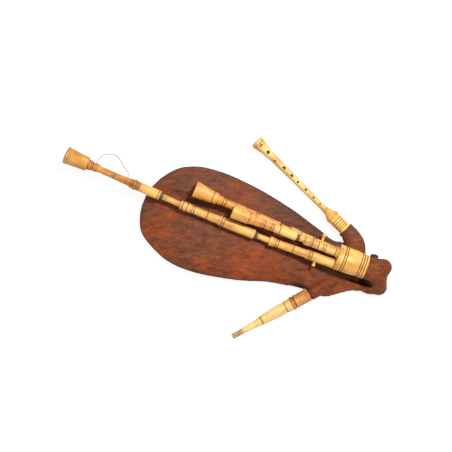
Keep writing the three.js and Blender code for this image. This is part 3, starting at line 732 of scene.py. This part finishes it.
# The stock is hollow below the sockets, and solid between them.
STOCK_BORE = [
    (17.5, STOCK_END), (17.5, STOCK_FACE - 1), (24.5, STOCK_FACE + 3), (24.5, -38),
    (CLOSED, -37.8), (CLOSED, 0),
]
stock = add_turned("drone_stock", stock_matrix, stock_outline(), STOCK_BORE, STOCK_WOOD, 96)
cut(stock, [
    drill(DRONE_SOCKET, -DRONE_SOCKET_DEPTH, 4,
          pipe_matrix(f"{drone}_bottom", f"{drone}_drone_pull", -FOOT_LENGTH), 48)
    for drone in ("bass", "tenor", "treble")
])
settle(stock, "bag", "drone_stock")


# ---- Chanter ----

# The tenons of the chanter stock and the blowpipe stock, in the leather.
SMALL_TENON = 12.5
SMALL_CHAMFER = (0.2, 1)
CHANTER_STOCK_LENGTH = 65.5
CHANTER_TENON_LENGTH = 17
CHANTER_STOCK_BORE = [(8.5, -CHANTER_TENON_LENGTH), (8.5, 36), (8, 38), (8, CHANTER_STOCK_LENGTH)]


def chanter_stock_outline():
    p = tied_tenon(SMALL_TENON, 0, CHANTER_TENON_LENGTH, 11, SMALL_CHAMFER)
    p.to(15.0, 0).curve(15.3, 1.4, 0.3, 3).to(15.2, 8)
    for spacing in (3.4, 4.6, 5.2, 5.6):
        p.groove(0.45, 1.2).bead(spacing, 0.25)
    p.groove(0.45, 1.2).to(14.6, 33.5).ease(16.0, 41, 4).curve(16.2, 43.5, 0.2, 3).groove(0.4, 1.2)
    p.curve(13.6, 51, 0.5, 5).ease(9.6, 59, 5).curve(8.9, 65, 0.3, 4)
    return p.to(8.6, CHANTER_STOCK_LENGTH)


add_pipe("chanter_stock", "chanter_pull", chanter_stock_outline(), CHANTER_STOCK_BORE, STOCK_WOOD,
         "chanter_neck")

# Heights over the stock's face.
CHANTER_FOOT = 38
CHANTER_LENGTH = 299.5
CHANTER_BORE = [(2.6, CHANTER_FOOT), (3, 120), (4.6, 262), (8.5, 288), (11.2, CHANTER_LENGTH)]
# Finger and vent holes: distance from the bell's rim, radius, and distance sideways.
CHANTER_HOLES = [
    (12.4, 1.7, 0), (16.4, 2.1, -2.3), (16.4, 2.1, 2.3), (39, 4.4, 0), (65, 3.0, -4.4), (92, 4.4, 0),
    (118, 4.1, 0), (139, 3.0, 0), (165, 3.1, 0), (191, 2.6, 0), (213, 2.2, 0),
]


def chanter_outline():
    p = Profile(6.0, CHANTER_FOOT).to(6.2, 38.6).to(6.2, 65.8).to(8.3, 65.8).bead(2.4, 0.5).to(7.7, 69)
    p.groove(0.3, 0.8).curve(7.7, 90, -0.1).curve(8.4, 190, 0.1, 6).curve(9.4, 235, -0.1, 6)
    p.curve(11.2, 264, -0.2, 6).curve(14.9, 286, -0.5, 6).to(15.5, 289).groove(0.5, 1.3)
    return p.curve(15.9, 295, 0.3, 5).curve(13.6, CHANTER_LENGTH, 0.9, 5)


def hole_drill(pipe_place, from_rim, radius, sideways):
    """A cutter from a pipe's axis up through its upper wall."""
    place = pipe_place @ Matrix.Translation((-sideways * MM, 0, (CHANTER_LENGTH - from_rim) * MM))
    return drill(radius, 0, 20, place @ Matrix.Rotation(math.radians(-90), 4, "X"), 24)


chanter_matrix = pipe_matrix("chanter", "chanter_pull", CHANTER_FOOT)
chanter = add_turned("chanter", chanter_matrix, chanter_outline(), CHANTER_BORE, CHANTER_WOOD)
cut(chanter, [hole_drill(chanter_matrix, *hole) for hole in CHANTER_HOLES])
settle(chanter, "chanter", "chanter")
add_winding("chanter_winding", "chanter", "chanter_pull", TUNING_WINDING)


# ---- Blowpipe ----

# Heights over the blowpipe stock's face.
BLOW_STOCK_LENGTH = 46.7
BLOW_TENON_LENGTH = 24
BLOWPIPE_FOOT = 8
BLOWPIPE_LENGTH = 125.7
MOUTHPIECE_FOOT = 100
MOUTHPIECE_LENGTH = 208.5
BLOW_STOCK_BORE = [(8.6, -BLOW_TENON_LENGTH), (8.6, BLOW_STOCK_LENGTH)]
BLOWPIPE_BORE = [(4, BLOWPIPE_FOOT), (4, 98), (6.2, 98.5), (6.2, BLOWPIPE_LENGTH)]
MOUTHPIECE_BORE = [(3.2, MOUTHPIECE_FOOT), (2.6, MOUTHPIECE_LENGTH)]


def blow_stock_outline():
    p = tied_tenon(SMALL_TENON, 0, BLOW_TENON_LENGTH, 15, SMALL_CHAMFER)
    p.to(15.4, 0).curve(16.4, 2, 0.4, 3).bead(3.4, 0.7).to(15.4, 6)
    for _ in range(5):
        p.bead(4.6, 0.35, 6)
    p.to(15.4, 31).ease(16.9, 33.6, 3).curve(16.9, 36.4, 0.25, 3)
    p.to(14.2, 37.4, 0.8).to(14.2, 39.6, 0.8)
    return p.ease(16.9, 41, 3).curve(16.9, 45, 0.3, 4).to(15.6, BLOW_STOCK_LENGTH)


def blowpipe_outline():
    p = Profile(6.7, BLOWPIPE_FOOT).to(6.9, 8.6).to(6.9, 47.2).to(13.9, 47.2).curve(14.6, 49, 0.3, 3)
    p.curve(14.7, 61.5, 0.25, 5).groove(0.9, 1.6).to(13.7, 64.2).curve(14.0, 86, 0.35, 6)
    return p.curve(12.2, 112, 0.3, 8).curve(11.5, 124.6, 0.0, 4).to(11.0, BLOWPIPE_LENGTH)


def mouthpiece_outline():
    p = Profile(5.6, MOUTHPIECE_FOOT).to(5.8, 100.6).to(5.8, 126).to(10.6, 126)
    p.to(11.2, 126.6, 0.9).to(11.1, 127.6, 0.7)
    p.curve(8.7, 146, -0.45, 5).curve(7.0, 176, -0.15, 5).ease(5.3, 178.6, 3).to(5.3, 204)
    return p.curve(4.8, 208, 0.3, 3).to(4.2, MOUTHPIECE_LENGTH)


add_pipe("blowpipe_stock", "blowpipe_pull", blow_stock_outline(), BLOW_STOCK_BORE, BLOW_STOCK_WOOD,
         "bag")
add_pipe("blowpipe", "blowpipe_pull", blowpipe_outline(), BLOWPIPE_BORE, PALE_WOOD,
         "blowpipe")
add_winding("blowpipe_winding", "blowpipe", "blowpipe_pull", 8.2)
add_pipe("mouthpiece", "mouthpiece_pull", mouthpiece_outline(), MOUTHPIECE_BORE, PALE_WOOD,
         "mouthpiece")
add_winding("tip_winding", "mouthpiece", "mouthpiece_pull", 6.6, material=TIP_THREAD, thread=1.1)


# ---- Stop keys ----

def key_outline(length, head_length, head_radius):
    neck = length - head_length
    p = Profile(2.8, 0).to(3.1, 0.4).to(3.1, neck).to(head_radius * 0.8, neck + 0.1).bead(2, 0.4)
    p.to(head_radius * 0.5, neck + 2.4).ease(head_radius, neck + head_length * 0.5)
    p.curve(head_radius * 0.92, neck + head_length * 0.78, 0.2, 4)
    return p.curve(head_radius * 0.3, length, 0.9, 5).to(CLOSED, length)


def add_key(drone, outward, head_length, head_radius):
    """A turned stop key; outward is 1 or -1, along its joint's axis."""
    node = drone + "_stop_key"
    axis = joint_axis(drone + "_key_turn") * outward
    outline = key_outline(node_length(node, axis), head_length, head_radius)
    piece = add_turned(node, axis_matrix(node, axis), outline, [(CLOSED, 0)], STOCK_WOOD, 40)
    settle(piece, drone + "_key", node)


add_key("bass", -1, 10, 4.2)
add_key("treble", 1, 13, 5.0)


# ---- Carried-over CAD nodes ----

CARRIED = (
    (CANE, ("bass_reed", "tenor_reed", "treble_reed", "chanter_reed")),
    (DARK_THREAD, ("bass_reed_bridle", "tenor_reed_bridle", "treble_reed_bridle",
                   "chanter_reed_binding", "drone_stock_tie", "chanter_tie", "blowpipe_tie",
                   "valve_tie")),
    (BRASS, ("chanter_reed_staple",)),
    (LEATHER, ("valve_flap",)),
)
for material, carried_nodes in CARRIED:
    for node in carried_nodes:
        data = frame["nodes"][node].data
        data.materials.clear()
        data.materials.append(material)


# ---- Thread loop ----

THREAD_DIAMETER = 0.0014
# From the bell section's lower ring, round on the table, and up to the bell.
THREAD_POINTS = [
    (-231.0, 140.8, 55), (-231.2, 143.6, 52), (-231.8, 146.4, 42), (-232.6, 149.0, 28),
    (-234.4, 151.6, 13), (-237.4, 155.6, 3.8), (-241.6, 160.6, 1.1), (-248.6, 170.6, 0.7),
    (-254.9, 182.6, 0.7), (-263.5, 192.6, 0.7), (-274.3, 197.4, 0.7), (-286.4, 198.4, 0.7),
    (-297.6, 194.8, 0.7), (-306.2, 188.6, 1.2), (-310.6, 183.0, 5), (-310.6, 178.6, 15),
    (-307.6, 175.0, 31), (-303.6, 172.2, 45), (-299.4, 170.0, 52), (-296.1, 167.2, 55),
]


def between(before, start, end, after, t):
    """A point of the Catmull-Rom line that runs from start to end."""
    return 0.5 * (2 * start + (end - before) * t
                  + (2 * before - 5 * start + 4 * end - after) * t ** 2
                  + (3 * start - before - 3 * end + after) * t ** 3)


def smooth_route(points, steps):
    """A smooth line through the points, from the first to the last."""
    padded = [2 * points[0] - points[1], *points, 2 * points[-1] - points[-2]]
    route = []
    for four in zip(padded, padded[1:], padded[2:], padded[3:]):
        route += [between(*four, i / steps) for i in range(steps)]
    route.append(points[-1].copy())
    return route


def curve_object(name, route, radius, material, swells=None):
    """A round line along a route; swells are its thickness at each point, as parts of the radius."""
    data = bpy.data.curves.new(name, "CURVE")
    data.dimensions = "3D"
    data.bevel_depth = radius
    data.bevel_resolution = 4
    data.use_fill_caps = True
    spline = data.splines.new("POLY")
    spline.points.add(len(route) - 1)
    for point, place, swell in zip(spline.points, route, swells or [1.0] * len(route)):
        point.co = (*place, 1)
        point.radius = swell
    return add_object(name, data, material)


thread_route = smooth_route([at(*point) for point in THREAD_POINTS], 6)
thread = curve_object("loose_thread", thread_route, THREAD_DIAMETER / 2, GREY_THREAD)
settle(thread, "bass_bell", "thread_loop")


# ---- Bag ----

BAG_CENTRE = (60, -20)
BELLY_HALF_HEIGHT = 20.0
FRONT_HALF_HEIGHT = 12.5
BAG_SINK = 3.0
SEAM_POINTS = [
    (-208, 30), (-202, 76), (-178, 120), (-132, 156), (-79, 168), (-10, 153), (75, 114), (156, 65),
    (215, 21), (250, -11), (300, -24), (336, -52), (352, -84), (364, -108), (368, -124), (350, -135),
    (312, -128), (278, -134), (229, -145), (184, -126), (100, -107), (22, -102), (-78, -84),
    (-145, -55), (-194, -6),
]


def closed_route(points, steps=16):
    """A smooth closed line through points of the plane."""
    corners = [np.array(point, float) for point in points]
    route = []
    for k in range(len(corners)):
        four = [corners[(k + i) % len(corners)] for i in (-1, 0, 1, 2)]
        route += [between(*four, i / steps) for i in range(steps)]
    return np.array(route)


seam_offsets = closed_route(SEAM_POINTS) - np.array(BAG_CENTRE)
seam_angles = np.arctan2(seam_offsets[:, 1], seam_offsets[:, 0])
seam_order = np.argsort(seam_angles)
seam_reaches = np.hypot(seam_offsets[:, 0], seam_offsets[:, 1])


def seam_reach(angle):
    return np.interp(angle, seam_angles[seam_order], seam_reaches[seam_order], period=2 * math.pi)


def smoothstep(value, low, high):
    t = min(1.0, max(0.0, (value - low) / (high - low)))
    return t * t * (3 - 2 * t)


def bag_half_height(x):
    return BELLY_HALF_HEIGHT + (FRONT_HALF_HEIGHT - BELLY_HALF_HEIGHT) * smoothstep(x, 40, 250)


def pillow(mesh):
    """The bag's main pillow, laid flat, as a warped ball."""
    ball = bmesh.ops.create_uvsphere(mesh, u_segments=160, v_segments=44, radius=1)
    for vertex in ball["verts"]:
        x, y, z = vertex.co
        flat = math.hypot(x, y)
        angle = math.atan2(y, x)
        reach = seam_reach(angle) * flat ** 0.8
        px = BAG_CENTRE[0] + math.cos(angle) * reach
        py = BAG_CENTRE[1] + math.sin(angle) * reach
        half = bag_half_height(px)
        lift = math.copysign(abs(z) ** 0.85, z) * half
        vertex.co = at(px, py, max(0.0, half - BAG_SINK + lift))


def ellipsoid(mesh, centre, radii, turn):
    ball = bmesh.ops.create_icosphere(mesh, subdivisions=4, radius=1)
    place = (Matrix.Translation(at(*centre)) @ Matrix.Rotation(math.radians(turn), 4, "Z")
             @ Matrix.Diagonal((*(r * MM for r in radii), 1)))
    bmesh.ops.transform(mesh, matrix=place, verts=ball["verts"])


def cone(mesh, start, end, start_radius, end_radius):
    """A closed cone between two points of the row frame."""
    line = end - start
    made = bmesh.ops.create_cone(mesh, cap_ends=True, segments=48, radius1=start_radius * MM,
                                 radius2=end_radius * MM, depth=line.length)
    turn = line.to_track_quat("Z", "Y").to_matrix().to_4x4()
    place = Matrix.Translation((start + end) / 2) @ turn
    bmesh.ops.transform(mesh, matrix=place, verts=made["verts"])


def remeshed(name, mesh, voxel, smoothing):
    """One even skin over all the closed forms in a mesh, with their joins melted together."""
    piece = new_object(name, mesh_data(name, mesh))
    modifier = piece.modifiers.new("remesh", "REMESH")
    modifier.mode = "VOXEL"
    modifier.voxel_size = voxel
    modifier = piece.modifiers.new("smooth", "SMOOTH")
    modifier.factor = 0.5
    modifier.iterations = smoothing
    apply_modifiers(piece)
    return piece


def ridged(x, y, z):
    return 1 - abs(noise.noise(Vector((x, y, z))))


def leather_relief(x, y):
    """Height of the slack leather's folds in millimetres, at a point of the design."""
    slack = smoothstep(x, 60, 240)
    along, across = 0.94 * x - 0.34 * y, 0.34 * x + 0.94 * y
    folds = (ridged(along / 95, across / 26, 3.1) - 0.75) * 7.0 * slack
    soft = noise.noise(Vector((x / 70, y / 55, 8.0))) * 1.6
    small = noise.noise(Vector((x / 17, y / 17, 2.0))) * 0.45
    return folds + soft + small


# The leather's bulges round the drone stock and down to the front edge: centre, half sizes, turn.
FRONT_BULGES = [
    ((350, -77, 50), (28, 27, 28), -20),
    ((364, -73, 46), (25, 22, 28), 20),
    ((356, -95, 36), (23, 24, 34), 0),
    ((358, -110, 26), (22, 24, 26), 0),
    ((361, -121, 20), (20, 18.5, 20), 0),
    ((344, -119, 19), (30, 18.5, 19), 0),
    ((318, -106, 15), (46, 21, 14), 6),
    ((326, -62, 17), (24, 18, 15), 0),
]
# The small dark flap that stands up beside the stock.
FLAP_CENTRE = (345, -44, 60)
FLAP_SIZE = (13, 5.5, 4.5)
# Hollows of the front leather, seen from above: centre, half sizes, turn, floor height, and the darkness
# of the shade painted in them.
HOLLOWS = [
    ((327, -110), (17, 8.5), -14, 9, 1.0),
    ((298, -104), (24, 3.6), -20, 17, 0.6),
]
# Dark patches on the seam's edge: the one beside the blowpipe neck is painted shadow in the gap there,
# the other a plain dark patch; centre, half sizes, turn.
DARK_EDGE_PATCHES = [((252, -8), (24, 7), -20), ((177, -118), (21, 8), -26)]
# The leather touches the stock's face, and keeps clear of its side.
STOCK_ROOM = 32.0
STOCK_FACE_RADIUS = 28.5
FACE_GAP = 0.4
PRESSED_DEPTH = 6
BLOW_HEM = 3.5
TENON_ROOM = 0.3

stock_top = stock_matrix.translation.copy()
into_bag = -stock_axis
stock_face = stock_top + into_bag * STOCK_LENGTH * MM
blow_axis = joint_axis("blowpipe_pull")
blow_stock_matrix = pipe_matrix("blowpipe_stock", "blowpipe_pull", -BLOW_TENON_LENGTH)
blow_mouth = blow_stock_matrix.translation.copy()


def clear_of_stock(place):
    """Moves a point of the leather out of the room that the drone stock takes."""
    offset = place - stock_top
    along = offset.dot(into_bag)
    radial = offset - into_bag * along
    limit = STOCK_LENGTH * MM + FACE_GAP * MM
    if along >= limit or radial.length >= STOCK_ROOM * MM:
        return place
    if limit - along < PRESSED_DEPTH * MM and radial.length < STOCK_FACE_RADIUS * MM:
        return place + into_bag * (limit - along)
    return stock_top + into_bag * along + radial.normalized() * STOCK_ROOM * MM


def design_place(place):
    """The x, y and z in the design, in millimetres, of a point of the row frame."""
    return place.x / MM + FOOTPRINT_MIDDLE[0], place.y / MM + FOOTPRINT_MIDDLE[1], place.z / MM


def spot_weight(x, y, centre, half_sizes, turn):
    """How deep a point of the plane lies in a turned oval, from 0 to 1."""
    c, k = math.cos(math.radians(turn)), math.sin(math.radians(turn))
    u = ((x - centre[0]) * c + (y - centre[1]) * k) / half_sizes[0]
    v = ((y - centre[1]) * c - (x - centre[0]) * k) / half_sizes[1]
    return math.exp(-(u * u + v * v) ** 2)


def hollow_weights(x, y):
    for centre, half_sizes, turn, floor_height, painted_shade in HOLLOWS:
        yield spot_weight(x, y, centre, half_sizes, turn), floor_height, painted_shade


def relieved(place, rise):
    """A point of the bag's skin with its folds and hollows; rise is how far it faces up."""
    x, y, height = design_place(place)
    if height > 3:
        height += leather_relief(x, y) * rise
    for weight, floor_height, _ in hollow_weights(x, y):
        if height > floor_height:
            height += (floor_height - height) * weight * rise
    return clear_of_stock(Vector((place.x, place.y, max(0.0, height) * MM)))


def skin_marks_and_shade(place, normal):
    """How dark a point of the skin is, from 0 to 1, from its dark marks and from the shade painted on
    it.
    """
    x, y, z = design_place(place)
    # Shade is painted into the hollows, most on their upward faces.
    hollow_shade = max(painted_shade * weight for weight, _, painted_shade in hollow_weights(x, y))
    hollow_shade *= max(0.0, normal.z + 0.3)
    flap = math.exp(-(((x - FLAP_CENTRE[0]) / 14) ** 4 + ((y - FLAP_CENTRE[1]) / 5.5) ** 4))
    flap *= 0.75 * (z > 50)
    # Painted shade on the skin's steep sides about the seam's height, which also darkens the line of the
    # seam.
    from_seam = z - bag_half_height(x) + BAG_SINK
    seam_side_shade = 1.3 * math.exp(-(from_seam / 5) ** 2) * max(0.0, 0.55 - abs(normal.z))
    # The dark patches on the seam's edge, one of them painted shadow.
    dark_patch = 0.9 * max(spot_weight(x, y, *spot) for spot in DARK_EDGE_PATCHES)
    from_mouth = blow_mouth - place
    hem = 0.8 * math.exp(-(from_mouth.dot(blow_axis) / (BLOW_HEM * MM)) ** 2)
    hem *= from_mouth.length < 25 * MM
    return min(1.0, max(hollow_shade, flap, seam_side_shade, dark_patch, hem))


def add_bag_forms(mesh):
    """The closed forms that melt into the bag: its pillow, bulges, flap and two necks."""
    pillow(mesh)
    cone(mesh, stock_face - into_bag * 0.002, stock_face + into_bag * 0.030, 27.5, 28.0)
    for centre, radii, turn in FRONT_BULGES:
        ellipsoid(mesh, centre, radii, turn)
    ellipsoid(mesh, FLAP_CENTRE, FLAP_SIZE, -8)
    mouth = blow_mouth - blow_axis * 0.0002
    middle = blow_mouth - blow_axis * 0.032
    root = blow_mouth - blow_axis * 0.110 - Vector((0, 0, 0.006))
    cone(mesh, mouth, middle, 17.6, 17.2)
    cone(mesh, middle + blow_axis * 0.002, root, 17.3, 5)


def make_bag():
    mesh = bmesh.new()
    add_bag_forms(mesh)
    piece = remeshed("bag_leather", mesh, voxel=0.0032, smoothing=12)
    vertices = piece.data.vertices
    for vertex, normal in zip(vertices, [v.normal.copy() for v in vertices]):
        vertex.co = relieved(vertex.co, max(0.0, normal.z))
    marks_and_shade = piece.data.attributes.new(MARKS_AND_SHADE, "FLOAT", "POINT")
    for vertex in vertices:
        marks_and_shade.data[vertex.index].value = skin_marks_and_shade(vertex.co, vertex.normal)
    piece.data.shade_smooth()
    piece.data.materials.append(LEATHER)
    return piece


bag = make_bag()
# The room inside for the tenons of the two stocks, and for the valve as it opens.
cut(bag, [
    drill(STOCK_TENON + TENON_ROOM, STOCK_END - 1, STOCK_FACE + 1, stock_matrix, 64),
    drill(SMALL_TENON + TENON_ROOM, -50, 1, blow_stock_matrix, 48),
])
settle(bag, "bag", "bag")


# ---- Chanter neck ----

# The leather neck, from the chanter stock into the bag: centre, half width, half height.
NECK_STATIONS = [
    ((281.0, 18.2, 20.0), 17.6, 17.4), ((285.5, 13.4, 20.2), 18.6, 18.0),
    ((291.0, 7.0, 20.4), 20.0, 18.6), ((297.0, -2.0, 20.4), 22.0, 19.0),
    ((301.5, -12.0, 20.0), 24.0, 18.6), ((304.0, -23.0, 19.0), 25.4, 17.6),
    ((305.0, -34.0, 17.5), 26.0, 16.4), ((305.0, -46.0, 16.0), 25.0, 14.5),
]
NECK_SEGMENTS = 64
NECK_OPENING = 0.74


def neck_swell(i, k):
    """How much the slack leather of ring i swells at its segment k, evenly on both sides."""
    fold = noise.noise(Vector((min(k, NECK_SEGMENTS - k) / 5.0, i / 7.0, 1.7)))
    return 1 + 0.05 * fold * smoothstep(i, 2, 8) + (0.05 + 0.16 * fold) * smoothstep(6 - i, 0, 4)


def make_neck():
    mesh = bmesh.new()
    marks_and_shade = mesh.verts.layers.float.new(MARKS_AND_SHADE)
    places = smooth_route([at(*centre) for centre, _, _ in NECK_STATIONS], 5)
    knots = np.linspace(0, 1, len(NECK_STATIONS))
    steps = np.linspace(0, 1, len(places))
    wide = np.interp(steps, knots, [w for _, w, _ in NECK_STATIONS])
    high = np.interp(steps, knots, [h for _, _, h in NECK_STATIONS])
    rows = []
    for i, place in enumerate(places):
        ahead = places[min(i + 1, len(places) - 1)] - places[max(i - 1, 0)]
        ahead.normalize()
        side = ahead.cross(Vector((0, 0, 1))).normalized()
        row = []
        for k in range(NECK_SEGMENTS):
            angle = 2 * math.pi * k / NECK_SEGMENTS
            swell = neck_swell(i, k)
            offset = side * math.cos(angle) * wide[i] * swell * MM
            offset.z += math.sin(angle) * high[i] * swell * MM
            point = place + offset
            point.z = max(0.0002, point.z)
            vertex = mesh.verts.new(point)
            vertex[marks_and_shade] = 0.6 * smoothstep(3 - i, 0, 3)
            row.append(vertex)
        rows.append(row)
    mouth = [mesh.verts.new(places[0] + (vertex.co - places[0]) * NECK_OPENING) for vertex in rows[0]]
    bridge(mesh, [mouth, *rows])
    mesh.faces.new(mouth)
    mesh.faces.new(list(reversed(rows[-1])))
    return add_object("neck_leather", smooth_mesh("neck_leather", mesh, math.radians(50)), LEATHER)


# The neck runs from the bag at its root to the chanter's stock at its mouth, and curves between.
neck = make_neck()
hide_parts("chanter_neck")
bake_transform(neck)


# ---- Welt ----

WELT_RADIUS = 1.5
# Angles round the bag's middle, in degrees, between which the seam can be seen.
WELT_ANGLES = range(0, 314, 2)
# Where the seam allowance swells into a thick, uneven lip, as it runs in under the stock.
LIP_FROM, LIP_TO = 0.205, 0.232


def welt_line(skin):
    """The seam as the leather's outermost line, pressed against the skin."""
    route = []
    for angle in WELT_ANGLES:
        outward = Vector((math.cos(math.radians(angle)), math.sin(math.radians(angle)), 0))
        seam_x = BAG_CENTRE[0] + outward.x * seam_reach(math.atan2(outward.y, outward.x))
        centre = at(*BAG_CENTRE, bag_half_height(seam_x) - BAG_SINK)
        hit = skin.ray_cast(centre + outward * 0.5, -outward)[0]
        route.append(hit + outward * 0.0002)
    return smooth_route(route, 3)


def welt_swells(route):
    """The welt's thickness at each point, with its lip in the first half of the route."""
    swells = []
    for step, place in enumerate(route):
        lip = smoothstep(place.x, LIP_FROM, LIP_TO) * (step < len(route) / 2)
        wave = 1 + 0.6 * noise.noise(Vector((step / 1.7, 4.0, 0.0)))
        swells.append(1 + 2.5 * lip * wave)
    return swells


skin = BVHTree.FromPolygons([v.co for v in bag.data.vertices], [p.vertices for p in bag.data.polygons])
welt_route = welt_line(skin)
welt = curve_object("seam_welt", welt_route, WELT_RADIUS * MM, WELT_LEATHER, welt_swells(welt_route))
settle(welt, "bag", "bag_welt")


# ---- Floor and light ----

def floor_material():
    """A bright paper sweep that keeps only a trace of the shadows."""
    m = Shading("floor_white")
    m.put("Base Color", (0.25, 0.25, 0.25))
    m.put("Roughness", 0.9)
    m.put("Emission Color", WHITE)
    m.put("Emission Strength", 0.84)
    return m.material


FLOOR_HALF = 4.0
FLOOR_DROP = 0.0004
floor_corners = [(FLOOR_HALF * x, FLOOR_HALF * y, 0) for x, y in ((-1, -1), (1, -1), (1, 1), (-1, 1))]
floor_data = bpy.data.meshes.new("floor")
floor_data.from_pydata(floor_corners, [], [(0, 1, 2, 3)])
floor = add_object("floor", floor_data, floor_material())
floor.location.z = -FLOOR_DROP

bpy.context.scene.view_settings.view_transform = "Standard"
world = bpy.data.worlds.new("world")
bpy.context.scene.world = world
world.use_nodes = True
background = world.node_tree.nodes["Background"]
background.inputs["Color"].default_value = (1, 1, 1, 1)
background.inputs["Strength"].default_value = 0.45


def area_light(name, place, size, power):
    """A square light that points at the middle of the object's footprint."""
    data = bpy.data.lights.new(name, "AREA")
    data.shape = "SQUARE"
    data.size = size
    data.energy = power
    light = new_object(name, data)
    light.location = place
    light.rotation_euler = (-Vector(place)).to_track_quat("-Z", "Y").to_euler()


area_light("key", (0.8, 0.75, 2.3), 0.3, 72)
area_light("fill", (-1.6, -0.9, 1.8), 1.8, 8)
